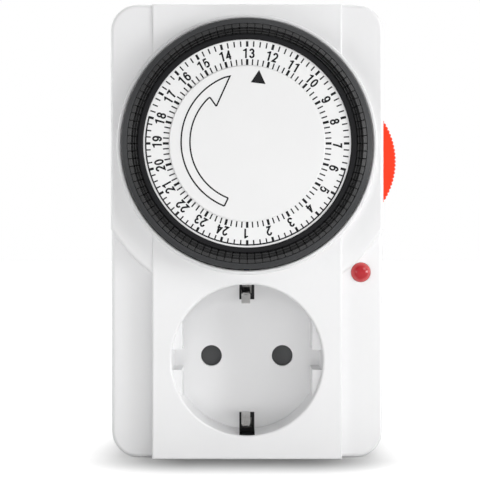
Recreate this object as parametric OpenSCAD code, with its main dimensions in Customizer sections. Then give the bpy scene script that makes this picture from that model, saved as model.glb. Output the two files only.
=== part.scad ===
// Plug-in mechanical timer switch: a 24-hour segment dial over a side-earthed mains socket.
// Origin at the centre of the case's flat bottom, front towards -Y, plug pins towards +Y.
// Pieces are drawn in a front view (x right, y up, z towards the viewer) and then stood upright.

/* [Case] */
// Width of the case
case_w = 70.5; // [66:0.5:90]
// Height of the case
case_h = 117.5; // [112:0.5:145]
// Depth of the case, front panel to back face
case_d = 40; // [36:0.5:56]
// Corner radius of the case outline
corner_r = 7; // [4:0.5:9]
// Rounding of the case's front edges
edge_r = 1; // [0.4:0.1:2]
// Wall thickness of both case halves
wall = 2; // [1.6:0.1:2.6]
// Width of the raised middle panel
panel_w = 49; // [45:0.5:54]
// Step from the panel down to the lower side strips
strip_step = 4; // [1:0.5:6]
// Step from the panel down to the round boss behind the dial
boss_step = 0.6; // [0.2:0.1:2]
// Depth of the front housing behind the panel
front_depth = 25; // [23:0.5:27]

/* [Dial] */
// Outer radius of the dial
dial_r = 32.1; // [28:0.1:33]
// Height of the dial's centre above the base
dial_y = 81.2; // [79:0.1:100]
// How far the dial stands in front of the panel
dial_proud = 6; // [3:0.5:8]
// Running gap round the dial
dial_gap = 0.4; // [0.2:0.1:0.6]
// Thickness of the dial's outer skirt
skirt_t = 1.5; // [1:0.1:2]
// Radial length of a tappet
tappet_l = 2.5; // [2.2:0.1:3.4]
// Width of a tappet's shank
tappet_w = 1.2; // [1:0.05:1.4]
// Gap between the heads of two tappets
head_gap = 0.2; // [0.15:0.05:0.4]
// Height of a tappet
tappet_h = 13; // [11:0.5:14]
// How far a tappet is pressed to switch on
tappet_travel = 3; // [2:0.1:3]
// Inner radius of the printed hour ring
scale_inner_r = 19.3; // [16:0.1:21]

/* [Socket] */
// Radius of the socket recess
recess_r = 19.5; // [19.25:0.05:20.5]
// Depth of the socket recess
recess_depth = 17.5; // [17:0.5:18.5]
// Height of the socket's centre above the base
socket_y = 25.6; // [24.6:0.1:27]
// Distance between the two pin holes, and between the two plug pins
pin_pitch = 19; // [18:0.1:20]
// Radius of a pin hole
pin_hole_r = 2.8; // [2.5:0.1:3]
// Half the distance between the flats on the recess sides
flat_x = 16.9; // [16:0.1:17.5]
// Width of the guide notch in each flat
notch_w = 5.2; // [4.5:0.1:6]
// Width of the earth clip slots
earth_slot_w = 4; // [3.2:0.1:5]

/* [Plug] */
// Radius of the plug nose
nose_r = 18.3; // [17.5:0.1:19]
// Length of the plug nose behind the case
nose_l = 17; // [15:0.5:19]
// Radius of a plug pin
plug_pin_r = 2.4; // [2.2:0.05:2.5]
// Length of a plug pin
plug_pin_l = 19; // [17:0.5:20]

/* [Override] */
// Radius of the orange override knob
knob_r = 20; // [18:0.5:22]
// How far the knob stands out of the case side
knob_proud = 4.8; // [3:0.1:6]
// Height of the knob's pivot above the base
knob_y = 77.7; // [76:0.1:82]
// Thickness of the knob
knob_t = 6.8; // [5:0.1:7]

/* [Clockwork] */
// Module of the small train gears
train_m = 0.3; // [0.28:0.01:0.3]
// Module of the dial's internal gear
dial_m = 0.5; // [0.45:0.01:0.5]
// Radius of the motor can
motor_r = 15; // [12:0.5:15]
// Radius of the two gear arbors
arbor_r = 0.6; // [0.5:0.05:0.7]
// Running clearance of turning pieces on their pins
run_gap = 0.05; // [0.03:0.01:0.08]

/* [Fasteners] */
// Radius of a case screw's shank
case_screw_r = 1.5; // [1.2:0.1:1.8]
// Radius of a chassis screw's shank
chassis_screw_r = 1.1; // [0.9:0.1:1.3]

/* [Hidden] */
$fn = 96;
eps = 0.01;

// Levels, measured towards the viewer from the middle of the case
panel_z = case_d / 2;
back_z = -case_d / 2;
part_z = panel_z - front_depth;
boss_z = panel_z - boss_step;
strip_z = panel_z - strip_step;
collar_z = panel_z + 0.8;
inner_back_z = back_z + wall;

// Dial levels and radii
dial_top = panel_z + dial_proud;
wheel_h = 15;
wheel_z = dial_top - wheel_h;
web_top = dial_top - 2;
web_t = 2;
scale_t = 1;
seat_gap = 0.05;
disc_t = 0.8;
disc_r = scale_inner_r + 0.6;
slot_gap = 0.1;
slot_outer_r = dial_r - skirt_t;
slot_inner_r = slot_outer_r - tappet_l - 2 * slot_gap;
tappet_outer_r = slot_outer_r - slot_gap;
collar_t = 1.3;
scale_outer_r = slot_inner_r - collar_t;
tappet_count = 96;
tappet_groups = 8;
group_size = tappet_count / tappet_groups;
tappet_z = dial_top - tappet_h;
crown_z = dial_top - 3.2;
step_z = dial_top - 1.2;
guide_low = wheel_z + 3;
guide_top = crown_z - tappet_travel - 0.2;
opening_r = dial_r + dial_gap;
rim_r = opening_r + 1.1;
boss_r = dial_r + 9.3;

// Chassis, dial post and hub
chassis_t = 1.5;
chassis_front = wheel_z - 5.5;
chassis_back = chassis_front - chassis_t;
chassis_gap = 0.5;
post_r = 4;
hub_r = 6;
stem_r = 2;
pillar_r = 1.6;

// Gear train: each axis-a wheel or pinion meshes with one on axis b, 90 teeth a pair
ring_wall = 4.1;
ring_teeth = 2 * round((scale_outer_r - ring_wall) / dial_m);
pinion_teeth = 12;
mesh_angle = 150;
train_teeth = 90;
train_angle = -70;
gear_t = 1.2;
level_h = 1.5;
level_0 = chassis_back - 10.4;
a_dist = (ring_teeth - pinion_teeth) * dial_m / 2;
a_x = a_dist * cos(mesh_angle);
a_y = dial_y + a_dist * sin(mesh_angle);
b_dist = train_teeth * train_m / 2;
b_x = a_x + b_dist * cos(train_angle);
b_y = a_y + b_dist * sin(train_angle);
plate_t = 0.6;
plate_front = level_0 - 0.2;
plate_back = plate_front - plate_t;
motor_back = inner_back_z + 0.2;
motor_wall = 0.6;
magnet_r = motor_r - 7;
pillars = [
    [a_x - 14.1, a_y], [a_x + 7.9, a_y + 12.6],
    [b_x - 13.7, b_y - 6.3], [b_x + 13.8, b_y + 5.7],
];

// Switch beside the dial, under the tappet circle
tappet_mid_r = tappet_outer_r - tappet_l / 2;
nose_angle = -30;
lever_x = tappet_mid_r * cos(nose_angle);
nose_y = dial_y + tappet_mid_r * sin(nose_angle);
lever_w = 3.6;
lever_gap = 0.3;
lever_pivot_y = nose_y - 14;
lever_pivot_z = chassis_front + 2;
lever_hub_r = 1.9;
lever_pin_r = 0.9;
nose_top = tappet_z - tappet_travel - 0.2;
cheek_t = 2;
pusher_y = lever_pivot_y + 8;
pusher_z = lever_pivot_z - 8.4;
blade_t = 0.4;
blade_w = 4;
blade_z = pusher_z - 0.2 - blade_t;
blade_root_y = lever_pivot_y - 0.8;
contact_y = pusher_y + 0.5;
fixed_blade_t = 0.8;
fixed_z = blade_z - 3.9;
base_top = blade_root_y - 0.3;
base_low = base_top - 4;
base_w = 10;
chassis_low = base_top - 2;
rivet_r = 1.3;
terminal_y = base_low - 2.3;
terminal_z = blade_z - 5.1;
fixed_x = lever_x - blade_w / 2 - 2.2;
fixed_low = base_low - 0.6;
link_t = 0.6;

// Override knob
knob_x = case_w / 2 + knob_proud - knob_r;
knob_post_r = 2.5;
knob_hub_r = 4.5;
knob_low = part_z + 0.2;
knob_top = knob_low + knob_t;
knob_gap = 0.3;
knob_span = 56;

// Socket, contacts and plug
floor_t = 2;
floor_z = panel_z - recess_depth;
floor_back = floor_z - floor_t;
tube_r = recess_r + wall;
slot_in_r = recess_r - 4.4;
pin_x = pin_pitch / 2;
shutter_r = 13.5;
shutter_t = 1.6;
shutter_z = floor_back - 0.3;
shutter_turn = 40;
shutter_post_r = 1.5;
cover_t = 1;
cover_z = shutter_z - shutter_t - 0.4;
skirt_back = cover_z - cover_t;
bracket_t = 0.8;
bracket_z = skirt_back - 0.3;
sleeve_r = 3.2;
sleeve_z = bracket_z - bracket_t - 0.3;
sleeve_back = sleeve_z - 6.8;
strap_y = socket_y + 4;
strap_w = 3;
strap_t = 0.8;
nose_back = back_z - nose_l;
nose_inner_r = nose_r - wall;
nose_floor = nose_back + wall;
pin_tip = nose_back - plug_pin_l;
stub_r = 1.5;
stub_z = nose_floor + 2.6;
tab_t = 0.8;
tab_z = stub_z - 2 * tab_t;
earth_w = 4;
clip_w = 2.3;
clip_t = 0.5;
busbar_z = sleeve_back - 3;

// Indicator lamp
lamp_x = case_w / 2 - 5.65;
lamp_y = socket_y + 22.6;
lens_r = 2.55;
lens_flange = 3.2;
neon_r = 2;
lead_z = strip_z - wall - 8;

// Screws
case_screw_x = case_w / 2 - 5.75;
case_screw_low = 6.5;
case_screw_high = case_h - 6;
case_screws_at = [
    [-case_screw_x, case_screw_low], [case_screw_x, case_screw_low],
    [-case_screw_x, case_screw_high], [case_screw_x, case_screw_high],
];
case_post_r = 3;
tower_r = 3.5;
case_head_r = 2.8;
head_z = part_z - 4;
chassis_screws_at = [
    [-22, dial_y + 29.3], [22, dial_y + 29.3],
    [-(boss_r - 3.5) * cos(45), dial_y - (boss_r - 3.5) * sin(45)],
];
chassis_post_r = 2;
lead_r = 0.6;

// ---- Shared shapes ----

module front_view() {
    rotate([90, 0, 0]) children();
}

module at(p) {
    translate([p[0], p[1], 0]) children();
}

// A cylinder from one level to another
module post(r, z0, z1) {
    translate([0, 0, z0]) cylinder(r = r, h = z1 - z0);
}

// A ring from one level to another
module ring(r_out, r_in, z0, z1) {
    difference() {
        post(r_out, z0, z1);
        post(r_in, z0 - 1, z1 + 1);
    }
}

// A box given by its two corners
module box(x, y, z) {
    translate([x[0], y[0], z[0]]) cube([x[1] - x[0], y[1] - y[0], z[1] - z[0]]);
}

module rounded_rect(w, y0, y1, r) {
    translate([-w / 2 + r, y0]) square([w - 2 * r, y1 - y0]);
    translate([-w / 2, y0 + r]) square([w, y1 - y0 - 2 * r]);
    for (x = [-w / 2 + r, w / 2 - r], y = [y0 + r, y1 - r]) translate([x, y]) circle(r);
}

module rounded_plate(w, y0, y1, r, z0, z1) {
    translate([0, 0, z0]) linear_extrude(z1 - z0) rounded_rect(w, y0, y1, r);
}

// Section through one side of the case, its top outer corner rounded by f
module side_section(w, h, f) {
    square([w, h - f]);
    square([w - f, h]);
    translate([w - f, h - f]) circle(f);
}

// A block with rounded corners r in plan and a rounding f along its front edge
module soft_block(w, y0, y1, z0, z1, r, f) {
    h = z1 - z0;
    translate([0, y1 - r, z0]) rotate([90, 0, 0]) linear_extrude(y1 - y0 - 2 * r)
        for (s = [0, 1]) mirror([s, 0]) side_section(w / 2, h, f);
    for (s = [0, 1]) translate([r - w / 2, s == 0 ? y1 - r : y0 + r, z0])
        mirror([0, s, 0]) rotate([90, 0, 90]) linear_extrude(w - 2 * r) side_section(r, h, f);
    for (k = [0 : 3])
        translate([(k == 0 || k == 3 ? 1 : -1) * (w / 2 - r), k < 2 ? y1 - r : y0 + r, z0])
            rotate(90 * k) rotate_extrude(angle = 90) side_section(r, h, f);
}

// Outline of the round boss behind the dial, which runs up to the top of the case
module boss_outline(r) {
    translate([0, dial_y]) circle(r);
    translate([-case_w, dial_y]) square([2 * case_w, case_h]);
}

// A gear outline with the given tooth centred on the phase angle
module gear_outline(n, m, phase) {
    tip = n * m / 2 + 0.8 * m;
    root = n * m / 2 - 1.1 * m;
    polygon([
        for (i = [0 : n - 1], p = [[-0.27, root], [-0.12, tip], [0.12, tip], [0.27, root]])
            let (a = phase + (i + p[0]) * 360 / n) p[1] * [cos(a), sin(a)]
    ]);
}

// The hole of an internal gear, with a gap between teeth centred on the phase angle
module ring_gear_hole(n, m, phase) {
    tip = n * m / 2 - 0.8 * m;
    root = n * m / 2 + 1.1 * m;
    polygon([
        for (i = [0 : n - 1], p = [[-0.38, tip], [-0.23, root], [0.23, root], [0.38, tip]])
            let (a = phase + (i + p[0]) * 360 / n) p[1] * [cos(a), sin(a)]
    ]);
}

// A gear wheel on one train level, drilled to run on an arbor
module train_wheel(n, level, phase) {
    translate([0, 0, level_0 + level * level_h]) difference() {
        linear_extrude(gear_t) gear_outline(n, train_m, phase);
        translate([0, 0, -1]) cylinder(r = arbor_r + run_gap, h = gear_t + 2);
    }
}

// A small train gear, with a collar reaching down to the wheel it is fixed to
module train_pinion(n, level, phase) {
    z = level_0 + level * level_h;
    difference() {
        union() {
            translate([0, 0, z]) linear_extrude(gear_t) gear_outline(n, train_m, phase);
            post(n * train_m / 2 - 1.2 * train_m, z - level_h + gear_t - eps, z + gear_t);
        }
        post(arbor_r + run_gap, z - level_h, z + gear_t + 1);
    }
}

// Phase of a gear on axis a, with a tooth towards axis b, and on axis b, with a gap towards axis a
function a_phase() = train_angle;
function b_phase(n) = train_angle + 180 + 180 / n;

// An eight-sided wire through the given points, its lengths running on a little at each bend
module wire(points, r) {
    last = len(points) - 2;
    for (i = [0 : last]) {
        d = points[i + 1] - points[i];
        l = norm(d);
        back = i == 0 ? 0 : 0.8 * r;
        ahead = i == last ? 0 : 0.8 * r;
        translate(points[i]) rotate([0, acos(d[2] / l), atan2(d[1], d[0])]) translate([0, 0, -back])
            cylinder(r = r, h = l + back + ahead, $fn = 8);
    }
}

// ---- Case ----

module housing_shell() {
    soft_block(case_w, 0, case_h, part_z, strip_z, corner_r, edge_r);
    intersection() {
        soft_block(case_w, 0, case_h, part_z, boss_z, corner_r, edge_r);
        translate([0, 0, part_z - 1]) linear_extrude(case_d) boss_outline(boss_r);
    }
    intersection() {
        soft_block(case_w, 0, case_h, part_z, panel_z, corner_r, edge_r);
        box([-panel_w / 2, panel_w / 2], [0, case_h], [part_z, panel_z]);
    }
    translate([0, dial_y, 0]) ring(rim_r, opening_r, boss_z - 1, collar_z);
}

module housing_cavity() {
    w = case_w - 2 * wall;
    r = corner_r - wall;
    rounded_plate(w, wall, case_h - wall, r, part_z - 1, strip_z - wall);
    intersection() {
        rounded_plate(w, wall, case_h - wall, r, part_z - 1, boss_z - wall);
        translate([0, 0, part_z - 1]) linear_extrude(case_d) boss_outline(boss_r - wall);
    }
    box([-panel_w / 2 + wall, panel_w / 2 - wall], [wall, case_h - wall], [part_z - 1, panel_z - wall]);
}

// The socket's recess, with its guide flats and notches
module recess() {
    rim_chamfer = 0.6;
    flat_drop = 1.4;
    difference() {
        union() {
            post(recess_r, floor_z, panel_z + 1);
            translate([0, 0, panel_z - rim_chamfer])
                cylinder(r1 = recess_r, r2 = recess_r + rim_chamfer + eps, h = rim_chamfer + eps);
        }
        for (s = [0, 1], t = [0, 1]) mirror([s, 0, 0]) mirror([0, t, 0])
            box([flat_x, tube_r], [notch_w / 2, tube_r], [floor_z - 1, panel_z - flat_drop]);
    }
    for (s = [-1, 1]) translate([s * pin_x, 0, 0]) post(pin_hole_r, floor_back - 1, panel_z);
    for (s = [0, 1]) mirror([0, s, 0])
        box([-earth_slot_w / 2, earth_slot_w / 2], [slot_in_r, tube_r - 0.5], [floor_back - 1, panel_z - 1]);
}

// The socket's tube, floor and mouth, fixed in the round hole of the housing's panel
module socket_insert() {
    color("white") front_view() at([0, socket_y]) {
        difference() {
            union() {
                post(tube_r, floor_back, panel_z);
                ring(tube_r, recess_r, skirt_back, floor_back + eps);
            }
            recess();
            for (s = [0, 1]) mirror([0, s, 0])
                box([-earth_slot_w / 2, earth_slot_w / 2], [slot_in_r, tube_r + 1],
                    [skirt_back - 1, floor_back]);
        }
        post(shutter_post_r, skirt_back, floor_back + 1);
    }
}

module front_housing() {
    color("white") front_view() difference() {
        union() {
            difference() {
                housing_shell();
                housing_cavity();
                at([0, socket_y]) post(tube_r, skirt_back - 1, panel_z + 1);
            }
            for (p = case_screws_at) at(p)
                post(case_post_r, part_z, (p[1] > dial_y ? boss_z : strip_z) - wall + eps);
            for (p = chassis_screws_at) at(p) post(chassis_post_r, chassis_front, panel_z - wall + eps);
        }
        at([0, dial_y]) post(opening_r, boss_z - wall - 1, panel_z + 2);
        at([knob_x, knob_y]) post(knob_r + knob_gap, part_z - 1, knob_top + 0.2);
        at([lamp_x, lamp_y]) post(lens_r + run_gap, strip_z - wall - 1, strip_z + 1);
        for (p = case_screws_at) at(p) post(case_screw_r, part_z - 1, part_z + 11);
        for (p = chassis_screws_at) at(p) post(chassis_screw_r, chassis_front - 1, chassis_front + 8);
    }
}

// The cover's solid parts before it is drilled
module cover_body() {
    difference() {
        translate([0, case_h, 0]) rotate([180, 0, 0])
            soft_block(case_w, 0, case_h, -part_z, -back_z, corner_r, edge_r);
        rounded_plate(case_w - 2 * wall, wall, case_h - wall, corner_r - wall, inner_back_z, part_z + 1);
    }
    for (p = case_screws_at) at(p) post(tower_r, back_z + eps, part_z);
    at([knob_x, knob_y]) post(knob_post_r, inner_back_z - eps, part_z - 0.3);
    at([0, socket_y]) {
        difference() {
            post(nose_r, nose_back, back_z + eps);
            post(nose_inner_r, nose_floor, back_z + 1);
            for (s = [0, 1]) mirror([s, 0, 0])
                box([flat_x, nose_r], [-notch_w / 2, notch_w / 2], [nose_back - 1, back_z - eps]);
        }
        for (s = [-1, 1]) translate([s * pin_x, 0, 0])
            box([-sleeve_r, sleeve_r], [-sleeve_r, sleeve_r], [inner_back_z - eps, sleeve_back]);
    }
}

module back_cover() {
    strap_slot = [3.6, 7];
    color("white") front_view() difference() {
        cover_body();
        for (p = case_screws_at) at(p) {
            post(case_screw_r + 0.2, back_z - 1, part_z + 1);
            post(case_head_r + 0.2, back_z - 1, head_z);
        }
        at([0, socket_y]) {
            for (s = [-1, 1]) translate([s * pin_x, 0, 0]) post(stub_r, nose_back - 1, nose_floor + 1);
            box([-pin_x - strap_w, pin_x + strap_w], strap_slot, [back_z - 1, inner_back_z + 1]);
            for (s = [0, 1]) mirror([0, s, 0])
                box([-earth_w / 2, earth_w / 2], [nose_r - bracket_t, nose_r + 1],
                    [nose_back + 0.5, inner_back_z + 1]);
        }
    }
}

// ---- Chassis and dial ----

module chassis_outline() {
    w = case_w - 2 * wall - 2 * chassis_gap;
    difference() {
        rounded_rect(w, chassis_low, case_h - wall - chassis_gap, corner_r - wall);
        for (p = case_screws_at) translate(p) circle(case_post_r + 0.6);
        translate([lever_x - lever_w / 2 - 0.1, lever_pivot_y - 2]) square([lever_w + 0.2, 20]);
        for (p = chassis_screws_at) translate(p) circle(chassis_screw_r + 0.2);
        translate([a_x, a_y]) circle(1.3);
        translate([b_x, b_y]) circle(arbor_r);
    }
}

module chassis_plate() {
    cheek_x = lever_w / 2 + lever_gap / 3;
    color("lightgrey") front_view() difference() {
        union() {
            translate([0, 0, chassis_back]) linear_extrude(chassis_t) chassis_outline();
            at([0, dial_y]) post(post_r, chassis_front - eps, web_top + 0.6);
            at([0, dial_y]) post(hub_r - 0.5, chassis_front - eps, wheel_z - 0.1);
            at([knob_x, knob_y]) post(knob_post_r, part_z - 0.2, chassis_back + eps);
            for (p = pillars) at(p) post(pillar_r, plate_front, chassis_back + eps);
            for (s = [0, 1]) translate([lever_x, 0, 0]) mirror([s, 0, 0])
                box([cheek_x, cheek_x + cheek_t], [lever_pivot_y - 2, lever_pivot_y + 2],
                    [chassis_front - eps, lever_pivot_z + 2]);
        }
        at([0, dial_y]) post(stem_r, chassis_back - 1, web_top + 2);
        translate([lever_x, lever_pivot_y, lever_pivot_z]) rotate([0, 90, 0])
            cylinder(r = lever_pin_r, h = 20, center = true);
    }
}

// The slots that the tappets slide in
module tappet_slots() {
    for (i = [0 : tappet_count - 1]) rotate(360 * (i + 0.5) / tappet_count)
        translate([slot_inner_r, -tappet_w / 2 - slot_gap / 2])
            square([slot_outer_r - slot_inner_r, tappet_w + slot_gap]);
}

module dial_wheel() {
    chamfer = 0.8;
    color("#2b2d30") front_view() at([0, dial_y]) {
        // Outer skirt, its front edge chamfered, and the guide ring with its slots
        rotate_extrude() polygon([
            [slot_outer_r, wheel_z], [dial_r - chamfer, wheel_z], [dial_r, wheel_z + chamfer],
            [dial_r, dial_top - 1.6], [slot_outer_r + 0.3, dial_top], [slot_outer_r, dial_top],
        ]);
        translate([0, 0, guide_low]) linear_extrude(guide_top - guide_low) difference() {
            circle(slot_outer_r + eps);
            circle(slot_inner_r - eps);
            tappet_slots();
        }
        ring(slot_inner_r, scale_outer_r, wheel_z, dial_top - 0.4);
        ring(scale_outer_r + eps, hub_r - 1, web_top - web_t, web_top);
        ring(hub_r, post_r + run_gap, wheel_z, web_top);
        translate([0, 0, wheel_z]) linear_extrude(4) difference() {
            circle(scale_outer_r + eps);
            ring_gear_hole(ring_teeth, dial_m, mesh_angle);
        }
    }
}

module scale_ring() {
    color("white") front_view() at([0, dial_y])
        ring(scale_outer_r - seat_gap, scale_inner_r, web_top, web_top + scale_t);
}

module centre_disc() {
    color("white") front_view() at([0, dial_y]) {
        post(disc_r, dial_top - disc_t, dial_top);
        post(stem_r, chassis_front + 1, dial_top - disc_t + eps);
    }
}

module dial_washer() {
    color("silver") front_view() at([0, dial_y]) ring(hub_r + 0.5, stem_r, web_top + 0.6, web_top + 1);
}

// A block between two radii that fills its share of the tappet circle but for the gap
module tappet_wedge(r0, r1, z0, z1) {
    share = tan(180 / tappet_count);
    w0 = r0 * share - head_gap / 2;
    w1 = r1 * share - head_gap / 2;
    translate([0, 0, z0]) linear_extrude(z1 - z0)
        polygon([[r0, -w0], [r1, -w1], [r1, w1], [r0, w0]]);
}

// One tappet at the middle of its slot: a shank, a head with a tall outer block, and two ridges
module tappet() {
    inner = tappet_outer_r - tappet_l;
    block_r = tappet_outer_r - 0.95;
    box([inner, tappet_outer_r], [-tappet_w / 2, tappet_w / 2], [tappet_z, crown_z + eps]);
    tappet_wedge(inner, tappet_outer_r, crown_z, step_z);
    tappet_wedge(block_r, tappet_outer_r, step_z - eps, dial_top);
    for (r = [inner + 0.3, inner + 0.95])
        tappet_wedge(r, r + 0.2, step_z - eps, step_z + 0.5);
}

module tappet_group(g) {
    color("#1d1e20") front_view() at([0, dial_y]) for (i = [0 : group_size - 1])
        rotate(90 - 13 * 15 + 360 * (g * group_size + i + 0.5) / tappet_count) tappet();
}

// ---- Clockwork ----

module clutch_pinion() {
    z0 = level_0 + 5 * level_h + gear_t;
    color("gold") front_view() at([a_x, a_y]) difference() {
        union() {
            translate([0, 0, wheel_z + 0.5]) linear_extrude(3)
                gear_outline(pinion_teeth, dial_m, mesh_angle);
            post(1.2, z0 - gear_t, wheel_z + 0.5 + eps);
        }
        post(arbor_r + run_gap, z0 - 3, wheel_z + 4);
    }
}

module clutch_spring() {
    z0 = level_0 + 5 * level_h + gear_t;
    color("silver") front_view() at([a_x, a_y]) difference() {
        rotate_extrude() polygon([
            [1.2, z0 + 0.8], [1.2, z0 + 0.5], [4, z0], [4.4, z0 + 0.15], [4.4, z0 + 0.3],
        ]);
        box([2.4, 5], [-0.3, 0.3], [z0 - 1, z0 + 1]);
    }
}

module clutch_wheel() {
    z0 = level_0 + 5 * level_h;
    color("gold") front_view() at([a_x, a_y]) difference() {
        translate([0, 0, z0]) linear_extrude(gear_t) gear_outline(75, train_m, a_phase());
        post(1.25, z0 - 1, z0 + gear_t + 1);
    }
}

// A train gear: a wheel on one level and a pinion on the next
module train_gear(p, wheel_n, wheel_phase, pinion_n, pinion_phase, level) {
    color("ivory") front_view() at(p) {
        train_wheel(wheel_n, level, wheel_phase);
        train_pinion(pinion_n, level + 1, pinion_phase);
    }
}

module gear_1() train_gear([b_x, b_y], 80, b_phase(80), 10, b_phase(10), 0);
module gear_2() train_gear([a_x, a_y], 80, a_phase(), 9, a_phase(), 1);
module gear_3() train_gear([b_x, b_y], 81, b_phase(81), 15, b_phase(15), 2);
module gear_4() train_gear([a_x, a_y], 75, a_phase(), 15, a_phase(), 3);
module gear_5() train_gear([b_x, b_y], 75, b_phase(75), 15, b_phase(15), 4);

module rotor() {
    color("dimgrey") front_view() at([a_x, a_y]) difference() {
        union() {
            post(magnet_r, motor_back + motor_wall + 0.8, plate_back - 1);
            post(1, plate_back - 1 - eps, level_0 + eps);
            translate([0, 0, level_0]) linear_extrude(gear_t) gear_outline(10, train_m, a_phase());
        }
        post(arbor_r + run_gap, motor_back, level_0 + gear_t + 1);
    }
}

module motor_can() {
    color("silver") front_view() at([a_x, a_y]) difference() {
        post(motor_r, motor_back, plate_back);
        post(motor_r - motor_wall, motor_back + motor_wall, plate_back + 1);
        post(arbor_r, motor_back - 1, plate_back);
        box([-3, 3], [-motor_r - 1, -motor_r + 2], [plate_back - 3, plate_back + 1]);
    }
}

module motor_coil() {
    color("peru") front_view() at([a_x, a_y])
        ring(motor_r - motor_wall - 0.4, magnet_r + 0.8, motor_back + motor_wall, plate_back - 0.5);
}

module motor_plate() {
    edge = 3;
    x0 = min([for (p = pillars) p[0]]) - 1.6;
    x1 = max([for (p = pillars) p[0]]) + edge;
    y0 = min([for (p = pillars) p[1]]) - edge;
    y1 = max([for (p = pillars) p[1]]) + edge;
    color("silver") front_view() translate([0, 0, plate_back]) linear_extrude(plate_t) difference() {
        polygon([
            [x0, y0], [x1, y0], [x1, b_y + 12],
            [pillars[1][0] + edge, y1], [x0 + 8, y1], [x0, y1 - 8],
        ]);
        translate([a_x, a_y]) circle(1.2);
        translate([b_x, b_y]) circle(arbor_r);
    }
}

module arbor_a() {
    color("silver") front_view() at([a_x, a_y]) post(arbor_r, motor_back, wheel_z + 3);
}

module arbor_b() {
    color("silver") front_view() at([b_x, b_y]) post(arbor_r, plate_back, chassis_front);
}

// ---- Switch ----

module switch_lever() {
    arm_t = 1.8;
    arm_z = lever_pivot_z - arm_t / 2;
    pusher_w = 2;
    color("whitesmoke") front_view() translate([lever_x - lever_w / 2, 0, 0])
        rotate([90, 0, 90]) linear_extrude(lever_w) difference() {
            union() {
                translate([lever_pivot_y, lever_pivot_z]) circle(lever_hub_r);
                translate([lever_pivot_y, arm_z]) square([nose_y - lever_pivot_y + 1, arm_t]);
                polygon([
                    [nose_y - 2, arm_z + 1], [nose_y + 1, arm_z + 1],
                    [nose_y + 0.5, nose_top], [nose_y - 0.5, nose_top],
                ]);
                translate([pusher_y - pusher_w / 2, pusher_z]) square([pusher_w, arm_z - pusher_z + 1]);
            }
            translate([lever_pivot_y, lever_pivot_z]) circle(lever_pin_r + run_gap);
        }
}

module switch_pin() {
    color("silver") front_view() translate([lever_x - lever_w / 2 - 4.2, lever_pivot_y, lever_pivot_z])
        rotate([0, 90, 0]) cylinder(r = lever_pin_r, h = lever_w + 6.4);
}

module switch_spring() {
    turns = 3;
    turn_w = 0.5;
    leg = [0.5, 4];
    x0 = lever_x - lever_w / 2 - lever_gap / 3 - cheek_t - 0.1;
    color("silver") front_view() translate([x0, lever_pivot_y, lever_pivot_z]) {
        rotate([0, -90, 0]) rotate_extrude() polygon([
            [lever_pin_r, 0],
            for (i = [0 : turns - 1], p = [[0.3, 0], [0.5, 0.25], [0.3, 0.5]])
                [lever_pin_r + p[0], i * turn_w + p[1]],
            [lever_pin_r, turns * turn_w],
        ]);
        box([-turns * turn_w, leg[0] - turns * turn_w], [0, leg[1]], [-lever_pin_r - leg[0], -lever_pin_r]);
    }
}

module switch_base() {
    color("#3a3a3a") front_view() difference() {
        box([lever_x - base_w / 2, lever_x + base_w / 2], [base_low, base_top], [fixed_z - 3, chassis_back]);
        box([lever_x - blade_w / 2, lever_x + blade_w / 2], [base_low - 1, base_top + 1],
            [blade_z, blade_z + blade_t]);
        box([fixed_x, lever_x + blade_w / 2], [base_low - 1, base_top + 1],
            [fixed_z - fixed_blade_t, fixed_z]);
    }
}

module moving_blade() {
    color("goldenrod") front_view()
        box([lever_x - blade_w / 2, lever_x + blade_w / 2], [blade_root_y, contact_y + 2],
            [blade_z, blade_z + blade_t]);
}

module moving_contact() {
    color("silver") front_view() at([lever_x, contact_y]) post(rivet_r, blade_z - 0.9, blade_z);
}

module fixed_contact() {
    color("silver") front_view() at([lever_x, contact_y]) post(rivet_r, fixed_z, fixed_z + 1.2);
}

module fixed_blade() {
    tail_w = 2;
    color("goldenrod") front_view() {
        box([fixed_x, lever_x + blade_w / 2], [fixed_low, contact_y + 1.8],
            [fixed_z - fixed_blade_t, fixed_z]);
        box([fixed_x, fixed_x + tail_w], [fixed_low - fixed_blade_t, fixed_low + eps], [busbar_z, fixed_z]);
    }
}

module blade_terminal() {
    x1 = lever_x + blade_w / 2;
    tail_w = 3.4;
    color("goldenrod") front_view() {
        box([x1 - blade_w, x1], [terminal_y, base_top], [blade_z, blade_z + blade_t]);
        box([x1 - tail_w, x1], [terminal_y - strap_t, terminal_y + eps], [terminal_z, blade_z + blade_t]);
    }
}

// ---- Override ----

// The knob's outline: hub, wedge and a ribbed rim
module knob_outline() {
    rib_span = 39;
    rib_step = 3;
    rib_size = 0.5;
    window = [knob_r - 11, knob_r - 6];
    spoke_w = 2;
    circle(knob_hub_r);
    difference() {
        intersection() {
            circle(knob_r);
            polygon([[0, 0], for (a = [-knob_span, knob_span]) 2 * knob_r * [cos(a), sin(a)]]);
        }
        difference() {
            circle(window[1]);
            circle(window[0]);
            for (a = [-30, 0, 30]) rotate(a) translate([0, -spoke_w / 2]) square([knob_r, spoke_w]);
        }
        for (a = [-rib_span : rib_step : rib_span]) rotate(a) translate([knob_r, 0]) rotate(45)
            square(rib_size, center = true);
    }
}

module override_lever() {
    color("#f4562c") front_view() at([knob_x, knob_y]) translate([0, 0, knob_low])
        linear_extrude(knob_t) difference() {
            knob_outline();
            circle(knob_post_r + run_gap);
        }
}

module detent_spring() {
    x1 = knob_x - knob_hub_r - 0.2;
    leaf_t = 0.4;
    half = 8;
    foot = [4, 1];
    color("silver") front_view() {
        box([x1 - leaf_t, x1], [knob_y - half, knob_y + half], [part_z + 1, knob_top - 1]);
        box([x1 - foot[0], x1], [knob_y - half - foot[1], knob_y - half + eps], [part_z + 1, chassis_back]);
    }
}

// ---- Lamp ----

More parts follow.
